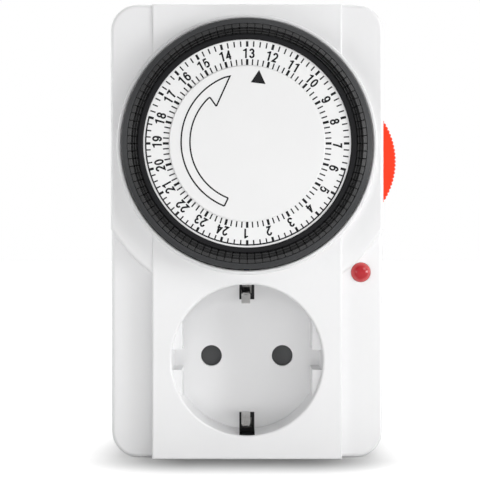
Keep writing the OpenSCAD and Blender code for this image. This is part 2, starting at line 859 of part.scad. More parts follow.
module lamp_lens() {
    dome_h = 1.5;
    dome_r = (lens_r * lens_r + dome_h * dome_h) / (2 * dome_h);
    color("red") front_view() at([lamp_x, lamp_y]) {
        post(lens_flange, strip_z - wall - 0.8, strip_z - wall);
        post(lens_r, strip_z - wall - eps, strip_z);
        translate([0, 0, strip_z]) intersection() {
            translate([0, 0, dome_h - dome_r]) sphere(r = dome_r);
            post(lens_r, -eps, dome_h + 1);
        }
    }
}

module neon_lamp() {
    color("orange") front_view() at([lamp_x, lamp_y]) {
        post(neon_r, lead_z + 1, strip_z - wall - 1.5);
        post(neon_r - 0.5, lead_z, lead_z + 1 + eps);
    }
}

module lamp_leads() {
    live_r = 0.25;
    neutral_r = 0.35;
    spread = 1;
    straight_z = lead_z - 1.2;
    bend_y = lamp_y - 6;
    live_y = terminal_y - 2;
    live_z = terminal_z - link_t / 2;
    cross_y = bend_y - 4;
    cross_z = busbar_z - strap_t - 2;
    color("tomato") front_view() {
        wire([
            [lamp_x - spread, lamp_y, lead_z], [lamp_x - spread, lamp_y, straight_z],
            [lamp_x - spread, bend_y, chassis_back], [lamp_x - spread, live_y, live_z],
            [lever_x + blade_w / 2, live_y, live_z],
        ], live_r);
        wire([
            [lamp_x + spread, lamp_y, lead_z], [lamp_x + spread, lamp_y, straight_z],
            [lamp_x + spread, bend_y, chassis_back], [lamp_x + spread, cross_y, cross_z],
            [-pin_x, cross_y, cross_z], [-pin_x, strap_y + strap_t + neutral_r - 0.05, cross_z],
        ], neutral_r);
    }
}

// ---- Contacts, plug and earth ----

module contact_sleeve() {
    difference() {
        union() {
            post(sleeve_r, sleeve_back, sleeve_z);
            box([-strap_w / 2, strap_w / 2], [sleeve_r - 0.8, strap_y - socket_y],
                [sleeve_back + 1, sleeve_back + 4]);
        }
        post(plug_pin_r + 0.05, sleeve_back + 1, sleeve_z + 1);
        box([-sleeve_r - 1, sleeve_r + 1], [-0.4, 0.4], [sleeve_back + 2, sleeve_z + 1]);
    }
}

module contact_live() {
    color("goldenrod") front_view() at([pin_x, socket_y]) contact_sleeve();
}

module contact_neutral() {
    color("goldenrod") front_view() at([-pin_x, socket_y]) contact_sleeve();
}

module live_link() {
    z = [terminal_z - link_t, terminal_z];
    x = [pin_x - strap_w / 2, pin_x + strap_w / 2];
    color("goldenrod") front_view() {
        box(x, [strap_y, terminal_y], z);
        box([x[0], lever_x + blade_w / 2], [terminal_y - strap_w, terminal_y], z);
    }
}

// A strap from a plug pin's stub forward to the given level
module pin_strap(x, z_end) {
    difference() {
        box([x - strap_w / 2 - 1, x + strap_w / 2 + 1], [socket_y - 2.5, strap_y + strap_t],
            [tab_z, tab_z + tab_t]);
        translate([x, socket_y, 0]) post(stub_r, stub_z - 3, stub_z);
    }
    box([x - strap_w / 2, x + strap_w / 2], [strap_y, strap_y + strap_t], [tab_z, z_end]);
}

module live_busbar() {
    x = [pin_x - strap_w / 2, pin_x + strap_w / 2];
    z = [busbar_z - strap_t, busbar_z];
    color("goldenrod") front_view() {
        pin_strap(pin_x, busbar_z);
        box(x, [strap_y, fixed_low], z);
        box([x[0], lever_x - blade_w / 2], [fixed_low - strap_w, fixed_low], z);
    }
}

module neutral_busbar() {
    color("goldenrod") front_view() pin_strap(-pin_x, sleeve_back + 3);
}

module plug_pin(x) {
    tip = 1;
    color("silver") front_view() at([x, socket_y]) {
        rotate_extrude() polygon([
            [0, pin_tip], [plug_pin_r - tip, pin_tip], [plug_pin_r, pin_tip + tip],
            [plug_pin_r, nose_back], [0, nose_back],
        ]);
        post(stub_r, nose_back - eps, stub_z);
        ring(sleeve_r, stub_r - eps, nose_floor, tab_z);
    }
}

module plug_pin_live() plug_pin(pin_x);
module plug_pin_neutral() plug_pin(-pin_x);

// One sprung earth clip and the plug's earth strip behind it, seen from the side
module earth_side() {
    z_front = panel_z - 3;
    r_far = 17.4;
    r_near = 14.3;
    path = [
        [bracket_z - bracket_t, 18], [floor_z + 2, 17.2],
        [panel_z - 10, r_near], [panel_z - 7.5, r_near], [z_front, r_far],
    ];
    rotate([0, -90, 0]) translate([0, 0, -clip_w / 2]) linear_extrude(clip_w)
        polygon([for (p = path) p, for (i = [len(path) - 1 : -1 : 0]) path[i] + [0, clip_t]]);
    box([-earth_w / 2, earth_w / 2], [nose_r - bracket_t, nose_r], [nose_back + 0.5, bracket_z]);
}

module earth_bracket() {
    color("silver") front_view() at([0, socket_y]) {
        box([-earth_w / 2, earth_w / 2], [-nose_r, nose_r], [bracket_z - bracket_t, bracket_z]);
        for (s = [0, 1]) mirror([0, s, 0]) earth_side();
    }
}

module shutter() {
    color("#444444") front_view() at([0, socket_y]) difference() {
        post(shutter_r, shutter_z - shutter_t, shutter_z);
        post(shutter_post_r + run_gap, shutter_z - shutter_t - 1, shutter_z + 1);
        for (s = [0, 180]) rotate(shutter_turn + s) translate([pin_x, 0, 0])
            post(pin_hole_r + 0.2, shutter_z - shutter_t - 1, shutter_z + 1);
    }
}

module shutter_spring() {
    color("silver") front_view() at([0, socket_y])
        translate([0, 0, shutter_z - shutter_t + 0.2]) rotate_extrude(angle = 60)
            translate([shutter_r + 1, 0]) square([0.4, shutter_t - 0.2]);
}

module shutter_cover() {
    color("lightgrey") front_view() at([0, socket_y]) difference() {
        union() {
            post(recess_r - 0.1, skirt_back, cover_z);
            rotate(4) rotate_extrude(angle = 8) translate([shutter_r + 1.4, cover_z - eps])
                square([1.2, shutter_t]);
        }
        post(shutter_post_r, skirt_back - 1, cover_z + 1);
        for (s = [-1, 1]) at([s * pin_x, 0]) post(pin_hole_r + 0.3, skirt_back - 1, cover_z + 1);
        for (s = [0, 1]) mirror([0, s, 0])
            box([-earth_slot_w / 2, earth_slot_w / 2], [slot_in_r, recess_r + 1],
                [skirt_back - 1, cover_z + 1]);
    }
}

// ---- Screws and leads ----

module screw(r, head_r, head_h, z_head, l) {
    difference() {
        union() {
            post(r, z_head - eps, z_head + l);
            post(head_r, z_head - head_h, z_head);
        }
        for (a = [0, 90]) rotate(a)
            box([-head_r * 0.6, head_r * 0.6], [-0.35, 0.35],
                [z_head - head_h - 1, z_head - head_h + 0.9]);
    }
}

module case_screws() {
    color("silver") front_view()
        for (p = case_screws_at) at(p) screw(case_screw_r, case_head_r, 2.2, head_z, 14);
}

module chassis_screws() {
    color("silver") front_view()
        for (p = chassis_screws_at) at(p) screw(chassis_screw_r, 2, 1.2, chassis_back, 9);
}

// Two leads from the coil down to the contact straps
module motor_leads() {
    z = plate_back - 2;
    z_end = z - 2;
    spread = 1.2;
    start_y = a_y - motor_r + 1;
    bend_y = [start_y - 9.5, start_y - 7.5];
    clear_x = earth_w / 2 + 3.5;
    color("steelblue") front_view() {
        wire([
            [a_x - spread, start_y, z], [a_x - spread, bend_y[0], z], [-pin_x, strap_y + 10, z],
            [-pin_x, strap_y + strap_t + lead_r, z_end],
        ], lead_r);
        wire([
            [a_x + spread, start_y, z], [a_x + spread, bend_y[1], z], [clear_x, base_low - 6.5, z],
            [pin_x - strap_w / 2 - lead_r, strap_y + 3, z_end],
        ], lead_r);
    }
}

front_housing();
socket_insert();
back_cover();
chassis_plate();
dial_wheel();
scale_ring();
centre_disc();
dial_washer();
tappet_group(0);  // tappets_00_03
tappet_group(1);  // tappets_03_06
tappet_group(2);  // tappets_06_09
tappet_group(3);  // tappets_09_12
tappet_group(4);  // tappets_12_15
tappet_group(5);  // tappets_15_18
tappet_group(6);  // tappets_18_21
tappet_group(7);  // tappets_21_24
clutch_pinion();
clutch_spring();
clutch_wheel();
gear_1();
gear_2();
gear_3();
gear_4();
gear_5();
rotor();
motor_can();
motor_coil();
motor_plate();
arbor_a();
arbor_b();
switch_lever();
switch_pin();
switch_spring();
switch_base();
moving_blade();
moving_contact();
fixed_contact();
fixed_blade();
blade_terminal();
override_lever();
detent_spring();
lamp_lens();
neon_lamp();
lamp_leads();
contact_live();
contact_neutral();
live_link();
live_busbar();
neutral_busbar();
plug_pin_live();
plug_pin_neutral();
earth_bracket();
shutter();
shutter_spring();
shutter_cover();
case_screws();
chassis_screws();
motor_leads();
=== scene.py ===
"""Looks of the plug-in timer switch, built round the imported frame."""

import math

import bmesh
import bpy
from mathutils import Matrix, Vector
from mathutils.geometry import tessellate_polygon

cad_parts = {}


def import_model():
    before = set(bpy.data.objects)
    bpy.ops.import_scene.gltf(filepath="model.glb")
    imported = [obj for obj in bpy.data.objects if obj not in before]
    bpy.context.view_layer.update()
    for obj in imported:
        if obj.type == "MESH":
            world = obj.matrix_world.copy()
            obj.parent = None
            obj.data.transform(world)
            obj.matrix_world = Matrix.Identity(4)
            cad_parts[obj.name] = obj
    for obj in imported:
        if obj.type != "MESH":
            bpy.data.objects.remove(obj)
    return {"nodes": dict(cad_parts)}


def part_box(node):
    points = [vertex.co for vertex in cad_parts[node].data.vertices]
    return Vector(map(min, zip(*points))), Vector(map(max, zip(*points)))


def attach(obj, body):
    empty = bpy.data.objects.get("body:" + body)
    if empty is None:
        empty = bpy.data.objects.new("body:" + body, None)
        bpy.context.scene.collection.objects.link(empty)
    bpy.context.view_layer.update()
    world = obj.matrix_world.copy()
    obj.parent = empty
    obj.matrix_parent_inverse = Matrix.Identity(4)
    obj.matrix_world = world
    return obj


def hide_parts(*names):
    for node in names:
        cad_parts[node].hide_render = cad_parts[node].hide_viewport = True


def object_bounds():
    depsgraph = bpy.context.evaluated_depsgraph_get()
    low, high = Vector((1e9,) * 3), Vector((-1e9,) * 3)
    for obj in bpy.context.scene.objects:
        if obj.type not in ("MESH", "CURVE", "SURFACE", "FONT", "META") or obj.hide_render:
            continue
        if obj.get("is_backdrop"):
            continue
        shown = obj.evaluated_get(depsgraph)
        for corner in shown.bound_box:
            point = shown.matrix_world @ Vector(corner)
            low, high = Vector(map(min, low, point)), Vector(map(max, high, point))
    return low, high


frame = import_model()
cad_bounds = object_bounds()
nodes = frame["nodes"]

# Shapes are drawn in millimetres in the front view: x right, y up, z towards the viewer.
MM = 0.001
FRONT = Matrix(((MM, 0, 0, 0), (0, 0, -MM, 0), (0, MM, 0, 0), (0, 0, 0, 1)))


def span(node):
    """A CAD node's lowest and highest corner in the front view's millimetres."""
    low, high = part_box(node)
    return (Vector((low.x, low.z, -high.y)) / MM, Vector((high.x, high.z, -low.y)) / MM)


# ---- Sizes, from the frame where a node gives them ----

COLLAR_Z = span("front_housing")[1].z
COVER_LOW, COVER_HIGH = span("back_cover")
DIAL_LOW, DIAL_HIGH = span("dial_wheel")
DISC_LOW, DISC_HIGH = span("centre_disc")
RING_LOW, RING_HIGH = span("scale_ring")
PIN_LOW, PIN_HIGH = span("plug_pin_live")
SHUTTER_LOW, SHUTTER_HIGH = span("shutter")
KNOB_LOW, KNOB_HIGH = span("override_lever")
LENS_LOW, LENS_HIGH = span("lamp_lens")
EARTH_LOW, EARTH_HIGH = span("earth_bracket")
SHANK_Z = span("tappets_12_15")[0].z

# Case and its screws
CASE_W = COVER_HIGH.x - COVER_LOW.x
CASE_H = COVER_HIGH.y
PART_Z = COVER_HIGH.z
COLLAR_H = 0.8
BOSS_DROP = 0.6
STRIP_DROP = 4.0
PANEL_Z = COLLAR_Z - COLLAR_H
BACK_Z = -PANEL_Z
BOSS_Z = PANEL_Z - BOSS_DROP
STRIP_Z = PANEL_Z - STRIP_DROP
WALL = 2.0
CORNER_R = 7.0
EDGE_R = 1.0
JOINT_EDGE_R = 0.15
PANEL_EDGE_R = 0.5
PANEL_W = 49.0
CASE_SCREWS = [
    (s * (CASE_W / 2 - 5.75), y) for s in (-1, 1) for y in (6.5, CASE_H - 6)
]
TOWER_R = 3.5
SCREW_HEAD_R = 3.0
SCREW_SHANK_R = 1.7
SCREW_SEAT_Z = PART_Z - 4

# Dial wheel
DIAL_Y = (DIAL_LOW.y + DIAL_HIGH.y) / 2
DIAL_R = (DIAL_HIGH.x - DIAL_LOW.x) / 2
DIAL_TOP = DIAL_HIGH.z
WHEEL_Z = DIAL_LOW.z
WHEEL_EDGE_R = 0.8
WHEEL_COLLAR_TOP = DIAL_TOP - 0.4
RIM_FALL = 1.5
WEB_TOP = RING_LOW.z
WEB_IN_R = 5.0
WEB_T = 2.0
HUB_R = 6.0
POST_HOLE_R = 4.05
GEAR_TEETH = 90
GEAR_START = 152
GEAR_L = 4.0
FINE_STEPS = 192

# Hour ring and fixed disc
SCALE_TOP = RING_HIGH.z
SCALE_R = RING_HIGH.x
COLLAR_IN_R = SCALE_R + 0.05
DISC_R = DISC_HIGH.x
DISC_TOP = DIAL_TOP - 0.55
RING_INNER = DISC_R - 0.6
SPIGOT_R = 2.0
HOURS = 24
FIRST_HOUR = 13
DEG_PER_HOUR = 360 // HOURS
NIGHT_START, NIGHT_END = 165, 345

# Tappets and the slots that they slide in
TAPPETS = 96
GROUP = 12
SKIRT_T = 1.5
SLIDE_GAP = 0.1
SLOT_OUTER_R = DIAL_R - SKIRT_T
TAPPET_OUTER_R = SLOT_OUTER_R - SLIDE_GAP
TAPPET_L = 2.5
TAPPET_INNER_R = TAPPET_OUTER_R - TAPPET_L
TAPPET_W = 1.2
SLOT_INNER_R = TAPPET_INNER_R - SLIDE_GAP
HEAD_GAP = 0.1
HEAD_EASE = 0.1
CROWN_Z = DIAL_TOP - 3.2
STEP_Z = DIAL_TOP - 2.2
BLOCK_L = 0.95
BLOCK_FALL = 0.42
RIDGES_AT = (0.92, 0.3)
RIDGE_TOP = DIAL_TOP - 0.7
RIDGE_W = 0.17
RIDGE_CHAMFER = 0.03
GUIDE_LOW = WHEEL_Z + 3
GUIDE_TOP = CROWN_Z - 3.2

# The case round the dial
OPENING_R = DIAL_R + 0.4
OPENING_EASE = 0.3
RIM_R = OPENING_R + 1.1
BOSS_R = DIAL_R + 9.3
BOSS_FOOT_HALF = 20.0
BOSS_FOOT_Y = DIAL_Y - 33.8

# Socket with its earth clips
SOCKET_Y = (SHUTTER_LOW.y + SHUTTER_HIGH.y) / 2
RECESS_R = 19.5
MOUTH_R = 0.7
TUBE_R = RECESS_R + WALL
RECESS_DEPTH = 17.5
FLOOR_T = 2.0
FLOOR_Z = PANEL_Z - RECESS_DEPTH
FLOOR_BACK = FLOOR_Z - FLOOR_T
TUBE_BACK = FLOOR_BACK - 3.3
PIN_X = (PIN_LOW.x + PIN_HIGH.x) / 2
PIN_HOLE_R = 2.8
FLAT_X = 16.9
NOTCH_W = 5.2
SLOT_W = 4.0
SLOT_IN_R = RECESS_R - 4.4
CLIP_SHIFT = -0.3
CLIP_W = 2.3
CLIP_T = 0.45
CLIP_EDGE_R = 0.07
CROSS_Z = FLOOR_BACK - 4
# From the cross strip to the tip: level, and distance from the socket's axis
CLIP_PATH = [(CROSS_Z, 18.1), (FLOOR_Z + 1.5, 17.6), (PANEL_Z - 10.2, 14.5),
             (PANEL_Z - 8, 14.5), (PANEL_Z - 3.2, 17.3)]

# Plug
NOSE_R = EARTH_HIGH.y - SOCKET_Y
NOSE_BACK = COVER_LOW.z
NOSE_EDGE_R = 0.8
EARTH_STRIP_W = 4.0
EARTH_STRIP_T = 0.8
PLUG_PIN_R = 2.4
PIN_EDGE_R = 1.1
PIN_TAIL_R = 1.5
PIN_TIP = PIN_LOW.z

# Knob and lamp
KNOB_R = 20.0
KNOB_HALF_TURN = 56
KNOB_RIBBED_TO = 39
KNOB_RIB = 3.0
KNOB_HUB_R = 4.5
KNOB_BORE_R = 2.55
KNOB_X = KNOB_HIGH.x - KNOB_R
KNOB_Y = (KNOB_LOW.y + KNOB_HIGH.y) / 2
LAMP_X = (LENS_LOW.x + LENS_HIGH.x) / 2
LAMP_Y = (LENS_LOW.y + LENS_HIGH.y) / 2
LENS_R = 2.55
LENS_FLANGE_R = 3.2
LENS_FLANGE_T = 0.8


# ---- Outlines in the front view ----


def arc(cx, cy, r, start, end, steps):
    """Points of an arc from one angle to another in degrees, both ends included."""
    points = []
    for i in range(steps + 1):
        a = math.radians(start + (end - start) * i / steps)
        points.append((cx + r * math.cos(a), cy + r * math.sin(a)))
    return points


def rect(x0, x1, y0, y1):
    """The corners of a rectangle."""
    return [(x0, y0), (x1, y0), (x1, y1), (x0, y1)]


def case_outline(inset=0.0):
    """The case seen from the front, or a smaller outline inside it."""
    w, top, r = CASE_W / 2 - inset, CASE_H - inset, CORNER_R - inset
    return (
        arc(w - r, inset + r, r, -90, 0, 10)
        + arc(w - r, top - r, r, 0, 90, 10)
        + arc(r - w, top - r, r, 90, 180, 10)
        + arc(r - w, inset + r, r, 180, 270, 10)
    )


def boss_outline(inset=0.0):
    """The raised boss: the case's outline over an arc that runs round the dial."""
    w = CASE_W / 2 - inset
    r = BOSS_R - inset
    top = CASE_H - inset
    corner = CORNER_R - inset
    half = BOSS_FOOT_HALF
    wide = math.degrees(math.asin(w / r))
    narrow = math.degrees(math.asin(half / r))
    outline = arc(0, DIAL_Y, r, -90 + narrow, -90 + wide, 12)
    outline += arc(w - corner, top - corner, corner, 0, 90, 10)
    outline += arc(-w + corner, top - corner, corner, 90, 180, 10)
    outline += arc(0, DIAL_Y, r, -90 - wide, -90 - narrow, 12)
    return outline + [(-half, BOSS_FOOT_Y), (half, BOSS_FOOT_Y)]


# ---- Mesh makers ----

MERGE_MM = 1e-4


def inset_ring(ring, inset):
    """A closed ring moved into the material, which lies on the left of its direction."""
    moved = []
    for i, point in enumerate(ring):
        before, here = Vector(ring[i - 1]), Vector(point)
        after = Vector(ring[(i + 1) % len(ring)])
        d1, d2 = (here - before).normalized(), (after - here).normalized()
        n1, n2 = Vector((-d1.y, d1.x)), Vector((-d2.y, d2.x))
        moved.append(here + (n1 + n2) * inset / max(1 + n1.dot(n2), 0.2))
    return moved


def edge_levels(z0, z1, back_r, front_r, steps=4):
    """Levels and insets of a side wall whose back and front edges are rounded."""
    turns = [math.radians(90 * i / steps) for i in range(steps + 1)]
    back = [(z0 + back_r * (1 - math.sin(t)), back_r * (1 - math.cos(t))) for t in turns[::-1]]
    front = [(z1 - front_r * (1 - math.sin(t)), front_r * (1 - math.cos(t))) for t in turns]
    return (back if back_r else [(z0, 0.0)]) + (front if front_r else [(z1, 0.0)])


def in_scene(name, data):
    """A new object in the scene, at the origin."""
    obj = bpy.data.objects.new(name, data)
    bpy.context.scene.collection.objects.link(obj)
    return obj


def object_of(name, bm):
    """A new object that takes over a finished mesh."""
    mesh = bpy.data.meshes.new(name)
    bm.to_mesh(mesh)
    bm.free()
    return in_scene(name, mesh)


def mesh_object(name, bm):
    """A mesh object in the shared frame, from a front-view mesh in millimetres."""
    bmesh.ops.remove_doubles(bm, verts=bm.verts, dist=MERGE_MM)
    bmesh.ops.recalc_face_normals(bm, faces=bm.faces)
    bm.transform(FRONT)
    return object_of(name, bm)


def cap(bm, rings, z, up):
    """A flat face over closed rings: the outer one first, then its holes."""
    flat = [[Vector((p[0], p[1], 0)) for p in ring] for ring in rings]
    verts = [bm.verts.new((p.x, p.y, z)) for ring in flat for p in ring]
    for tri in tessellate_polygon(flat):
        a, b, c = (verts[i] for i in tri)
        turn = (b.co - a.co).cross(c.co - a.co).z
        if abs(turn) > 1e-9:
            bm.faces.new((a, b, c) if (turn > 0) == up else (a, c, b))


def add_slab(bm, outer, levels, holes=()):
    """A flat block: side walls through the levels, closed at the back and the front."""
    rings = [list(outer)] + [list(reversed(hole)) for hole in holes]
    for ring in rings:
        loops = []
        for z, inset in levels:
            loops.append([bm.verts.new((p.x, p.y, z)) for p in inset_ring(ring, inset)])
        for low, high in zip(loops, loops[1:]):
            for i in range(len(ring)):
                j = (i + 1) % len(ring)
                bm.faces.new((low[i], low[j], high[j], high[i]))
    for (z, inset), up in ((levels[0], False), (levels[-1], True)):
        cap(bm, [inset_ring(ring, inset) for ring in rings], z, up)


def slab(name, outer, levels, holes=()):
    """A flat block as an object of its own."""
    bm = bmesh.new()
    add_slab(bm, outer, levels, holes)
    return mesh_object(name, bm)


def block(name, outer, z0, z1, holes=()):
    """A flat block with plain edges."""
    return slab(name, outer, [(z0, 0), (z1, 0)], holes)


def turned(name, cx, cy, section, steps=128):
    """A turned piece about the viewing axis, from a closed section of (r, z)."""
    bm = bmesh.new()
    loops = []
    for i in range(steps):
        a = 2 * math.pi * i / steps
        loops.append(
            [bm.verts.new((cx + r * math.cos(a), cy + r * math.sin(a), z)) for r, z in section]
        )
    for i in range(steps):
        one, two = loops[i], loops[(i + 1) % steps]
        for j in range(len(section)):
            k = (j + 1) % len(section)
            if section[j][0] > 1e-6 or section[k][0] > 1e-6:
                bm.faces.new((one[j], two[j], two[k], one[k]))
    bmesh.ops.remove_doubles(bm, verts=bm.verts, dist=MERGE_MM)
    bmesh.ops.dissolve_degenerate(bm, edges=bm.edges, dist=MERGE_MM / 10)
    return mesh_object(name, bm)


def bake_modifiers(obj):
    """The object's evaluated shape becomes its own mesh."""
    graph = bpy.context.evaluated_depsgraph_get()
    mesh = bpy.data.meshes.new_from_object(obj.evaluated_get(graph))
    obj.modifiers.clear()
    obj.data = mesh


def combine(target, operation, others):
    """Joins or cuts other objects into the target, and removes them."""
    for other in others:
        cutter = target.modifiers.new("combine", "BOOLEAN")
        cutter.operation = operation
        cutter.solver = "EXACT"
        cutter.material_mode = "TRANSFER"
        cutter.object = other
        bake_modifiers(target)
        bpy.data.objects.remove(other)
    return target


def join(name, parts):
    """One object of several, all at the origin."""
    bm = bmesh.new()
    for part in parts:
        bm.from_mesh(part.data)
        bpy.data.objects.remove(part)
    return object_of(name, bm)


def smooth(obj, angle=32):
    """Smooth shading that keeps edges over the angle sharp and flat faces flat."""
    mesh = obj.data
    mesh.polygons.foreach_set("use_smooth", [True] * len(mesh.polygons))
    mesh.set_sharp_from_angle(angle=math.radians(angle))
    weigh = obj.modifiers.new("flat_faces", "WEIGHTED_NORMAL")
    weigh.keep_sharp = True
    weigh.mode = "FACE_AREA"
    return obj


def dress(obj, material, body, slot, *replaced):
    """Gives a finished piece its material, its body and the nodes that it stands for."""
    if not obj.data.materials:
        obj.data.materials.append(material)
    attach(obj, body)
    if replaced:
        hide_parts(*replaced)
    return obj


# ---- Repeats, with Geometry Nodes ----


def new_socket(group, name, kind, way, default=None):
    """A named input or output of a node group."""
    kind = "NodeSocket" + kind
    socket = group.interface.new_socket(name=name, in_out=way, socket_type=kind)
    if default is not None:
        socket.default_value = default


def wire(tree, *rows):
    """Links, each given as a node and its output, then a node and its input."""
    for giver, output, taker, entry in rows:
        tree.links.new(giver.outputs[output], taker.inputs[entry])


def maths(tree, operation, kind="Math"):
    """A maths node set to its operation."""
    node = tree.nodes.new("ShaderNode" + kind)
    node.operation = operation
    return node


def round_row_tree():
    """A tree that repeats its own mesh round the viewing axis through a centre."""
    tree = bpy.data.node_groups.new("round_row", "GeometryNodeTree")
    for title, kind, default in (("Geometry", "Geometry", None), ("Count", "Int", 12),
                                 ("Start", "Float", 0.0), ("Step", "Float", 0.1),
                                 ("Centre", "Vector", None), ("Material", "Material", None)):
        new_socket(tree, title, kind, "INPUT", default)
    new_socket(tree, "Geometry", "Geometry", "OUTPUT")
    add = tree.nodes.new
    source, result = add("NodeGroupInput"), add("NodeGroupOutput")
    line, index = add("GeometryNodeMeshLine"), add("GeometryNodeInputIndex")
    step, angle = maths(tree, "MULTIPLY"), maths(tree, "ADD")
    turn, place = add("ShaderNodeCombineXYZ"), add("GeometryNodeInstanceOnPoints")
    real, paint = add("GeometryNodeRealizeInstances"), add("GeometryNodeSetMaterial")
    line.inputs["Offset"].default_value = (0, 0, 0)
    wire(tree, (source, "Count", line, "Count"), (source, "Centre", line, "Start Location"),
         (index, 0, step, 0), (source, "Step", step, 1), (step, 0, angle, 0),
         (source, "Start", angle, 1), (angle, 0, turn, "Y"), (line, 0, place, "Points"),
         (source, "Geometry", place, "Instance"), (turn, 0, place, "Rotation"),
         (place, 0, real, 0), (real, 0, paint, "Geometry"),
         (source, "Material", paint, "Material"), (paint, 0, result, 0))
    return tree


ROUND_ROW = round_row_tree()


def round_row(obj, count, start, step, material):
    """Repeats a piece, drawn at angle 0 about the origin, round the dial: angles in degrees."""
    row = obj.modifiers.new("round_row", "NODES")
    row.node_group = ROUND_ROW
    values = {"Count": count, "Start": -math.radians(start), "Step": -math.radians(step),
              "Centre": (0.0, 0.0, DIAL_Y * MM), "Material": material}
    for item in ROUND_ROW.interface.items_tree:
        if item.in_out == "INPUT" and item.name in values:
            row[item.identifier] = values[item.name]
    bake_modifiers(obj)
    return obj


# ---- Shader groups: each puts out a colour, a roughness and a height ----


def shader_group(name, inputs):
    """A finish with the given inputs, which puts out a colour, a roughness and a height."""
    group = bpy.data.node_groups.new(name, "ShaderNodeTree")
    for title, kind, default in inputs:
        new_socket(group, title, kind, "INPUT", default)
    for title, kind in (("Colour", "Color"), ("Roughness", "Float"), ("Height", "Float")):
        new_socket(group, title, kind, "OUTPUT")
    return group, group.nodes.new("NodeGroupInput"), group.nodes.new("NodeGroupOutput")


def noise(tree, vector, scale, detail=3.0):
    """A noise value at a scale counted in features per metre."""
    node = tree.nodes.new("ShaderNodeTexNoise")
    node.inputs["Scale"].default_value = scale
    node.inputs["Detail"].default_value = detail
    tree.links.new(vector, node.inputs["Vector"])
    return node.outputs["Fac"]


def ranged(tree, value, *limits):
    """A value moved from one range, low to high, to another."""
    node = tree.nodes.new("ShaderNodeMapRange")
    tree.links.new(value, node.inputs["Value"])
    for title, number in zip(("From Min", "From Max", "To Min", "To Max"), limits):
        node.inputs[title].default_value = number
    return node.outputs["Result"]


def finish_group(group, source, result, shade, worn, height):
    """The colour times the shade, the gloss plus its wear, and the grain's height."""
    tint, gloss = maths(group, "SCALE", "VectorMath"), maths(group, "ADD")
    wire(group, (source, "Colour", tint, 0), (source, "Gloss", gloss, 1),
         (tint, 0, result, "Colour"), (gloss, 0, result, "Roughness"))
    group.links.new(shade, tint.inputs["Scale"])
    group.links.new(worn, gloss.inputs[0])
    group.links.new(height, result.inputs["Height"])


def moulded_group():
    """Moulded plastic: a faint colour drift, uneven gloss and a fine eroded grain."""
    group, source, result = shader_group(
        "moulded_plastic",
        [("Vector", "Vector", None), ("Colour", "Color", (0.8, 0.8, 0.8, 1)),
         ("Drift", "Float", 0.03), ("Gloss", "Float", 0.35)],
    )
    link = group.links.new
    vector = source.outputs["Vector"]
    wide, fine = noise(group, vector, 45.0), noise(group, vector, 5200.0, 2.0)
    flow = noise(group, vector, 260.0)
    shade = maths(group, "MULTIPLY_ADD")
    link(ranged(group, wide, 0.3, 0.7, -1.0, 1.0), shade.inputs[0])
    link(source.outputs["Drift"], shade.inputs[1])
    shade.inputs[2].default_value = 1.0
    worn = ranged(group, flow, 0.3, 0.7, -0.05, 0.06)
    finish_group(group, source, result, shade.outputs[0], worn, fine)
    return group


def metal_group():
    """Drawn or stamped metal: fine lines along one way and faint stains."""
    group, source, result = shader_group(
        "worked_metal",
        [("Vector", "Vector", None), ("Colour", "Color", (0.7, 0.7, 0.7, 1)),
         ("Gloss", "Float", 0.25)],
    )
    stretch = group.nodes.new("ShaderNodeMapping")
    stretch.inputs["Scale"].default_value = (9.0, 0.6, 9.0)
    group.links.new(source.outputs["Vector"], stretch.inputs["Vector"])
    lines = noise(group, stretch.outputs[0], 900.0, 2.0)
    stain = noise(group, source.outputs["Vector"], 220.0)
    shade = ranged(group, stain, 0.3, 0.75, 0.86, 1.04)
    worn = ranged(group, lines, 0.3, 0.7, -0.06, 0.1)
    finish_group(group, source, result, shade, worn, lines)
    return group


MOULDED = moulded_group()
WORKED = metal_group()


def material_with(name, group, colour, settings, bump, bump_mm, shader):
    """A material: one effect group on Object coordinates feeding a Principled shader."""
    material = bpy.data.materials.new(name)
    material.use_nodes = True
    tree = material.node_tree
    add = tree.nodes.new
    principled = tree.nodes["Principled BSDF"]
    where = add("ShaderNodeTexCoord")
    effect = add("ShaderNodeGroup")
    effect.node_tree = group
    effect.inputs["Colour"].default_value = (*colour, 1)
    for title, value in settings.items():
        effect.inputs[title].default_value = value
    height = add("ShaderNodeBump")
    height.inputs["Strength"].default_value = bump
    height.inputs["Distance"].default_value = bump_mm * MM
    wire(tree, (where, "Object", effect, "Vector"), (effect, "Colour", principled, "Base Color"),
         (effect, "Roughness", principled, "Roughness"), (effect, "Height", height, "Height"),
         (height, 0, principled, "Normal"))
    for title, value in shader.items():
        principled.inputs[title].default_value = value
    return material


def plastic(name, colour, gloss, drift, bump=0.25, bump_mm=0.02, **shader):
    """A moulded plastic; drift is how far its colour wanders."""
    return material_with(
        name, MOULDED, colour, {"Drift": drift, "Gloss": gloss}, bump, bump_mm, shader
    )


def metal(name, colour, gloss, bump=0.2, bump_mm=0.01):
    """A drawn or stamped metal."""
    return material_with(
        name, WORKED, colour, {"Gloss": gloss}, bump, bump_mm, {"Metallic": 1.0}
    )


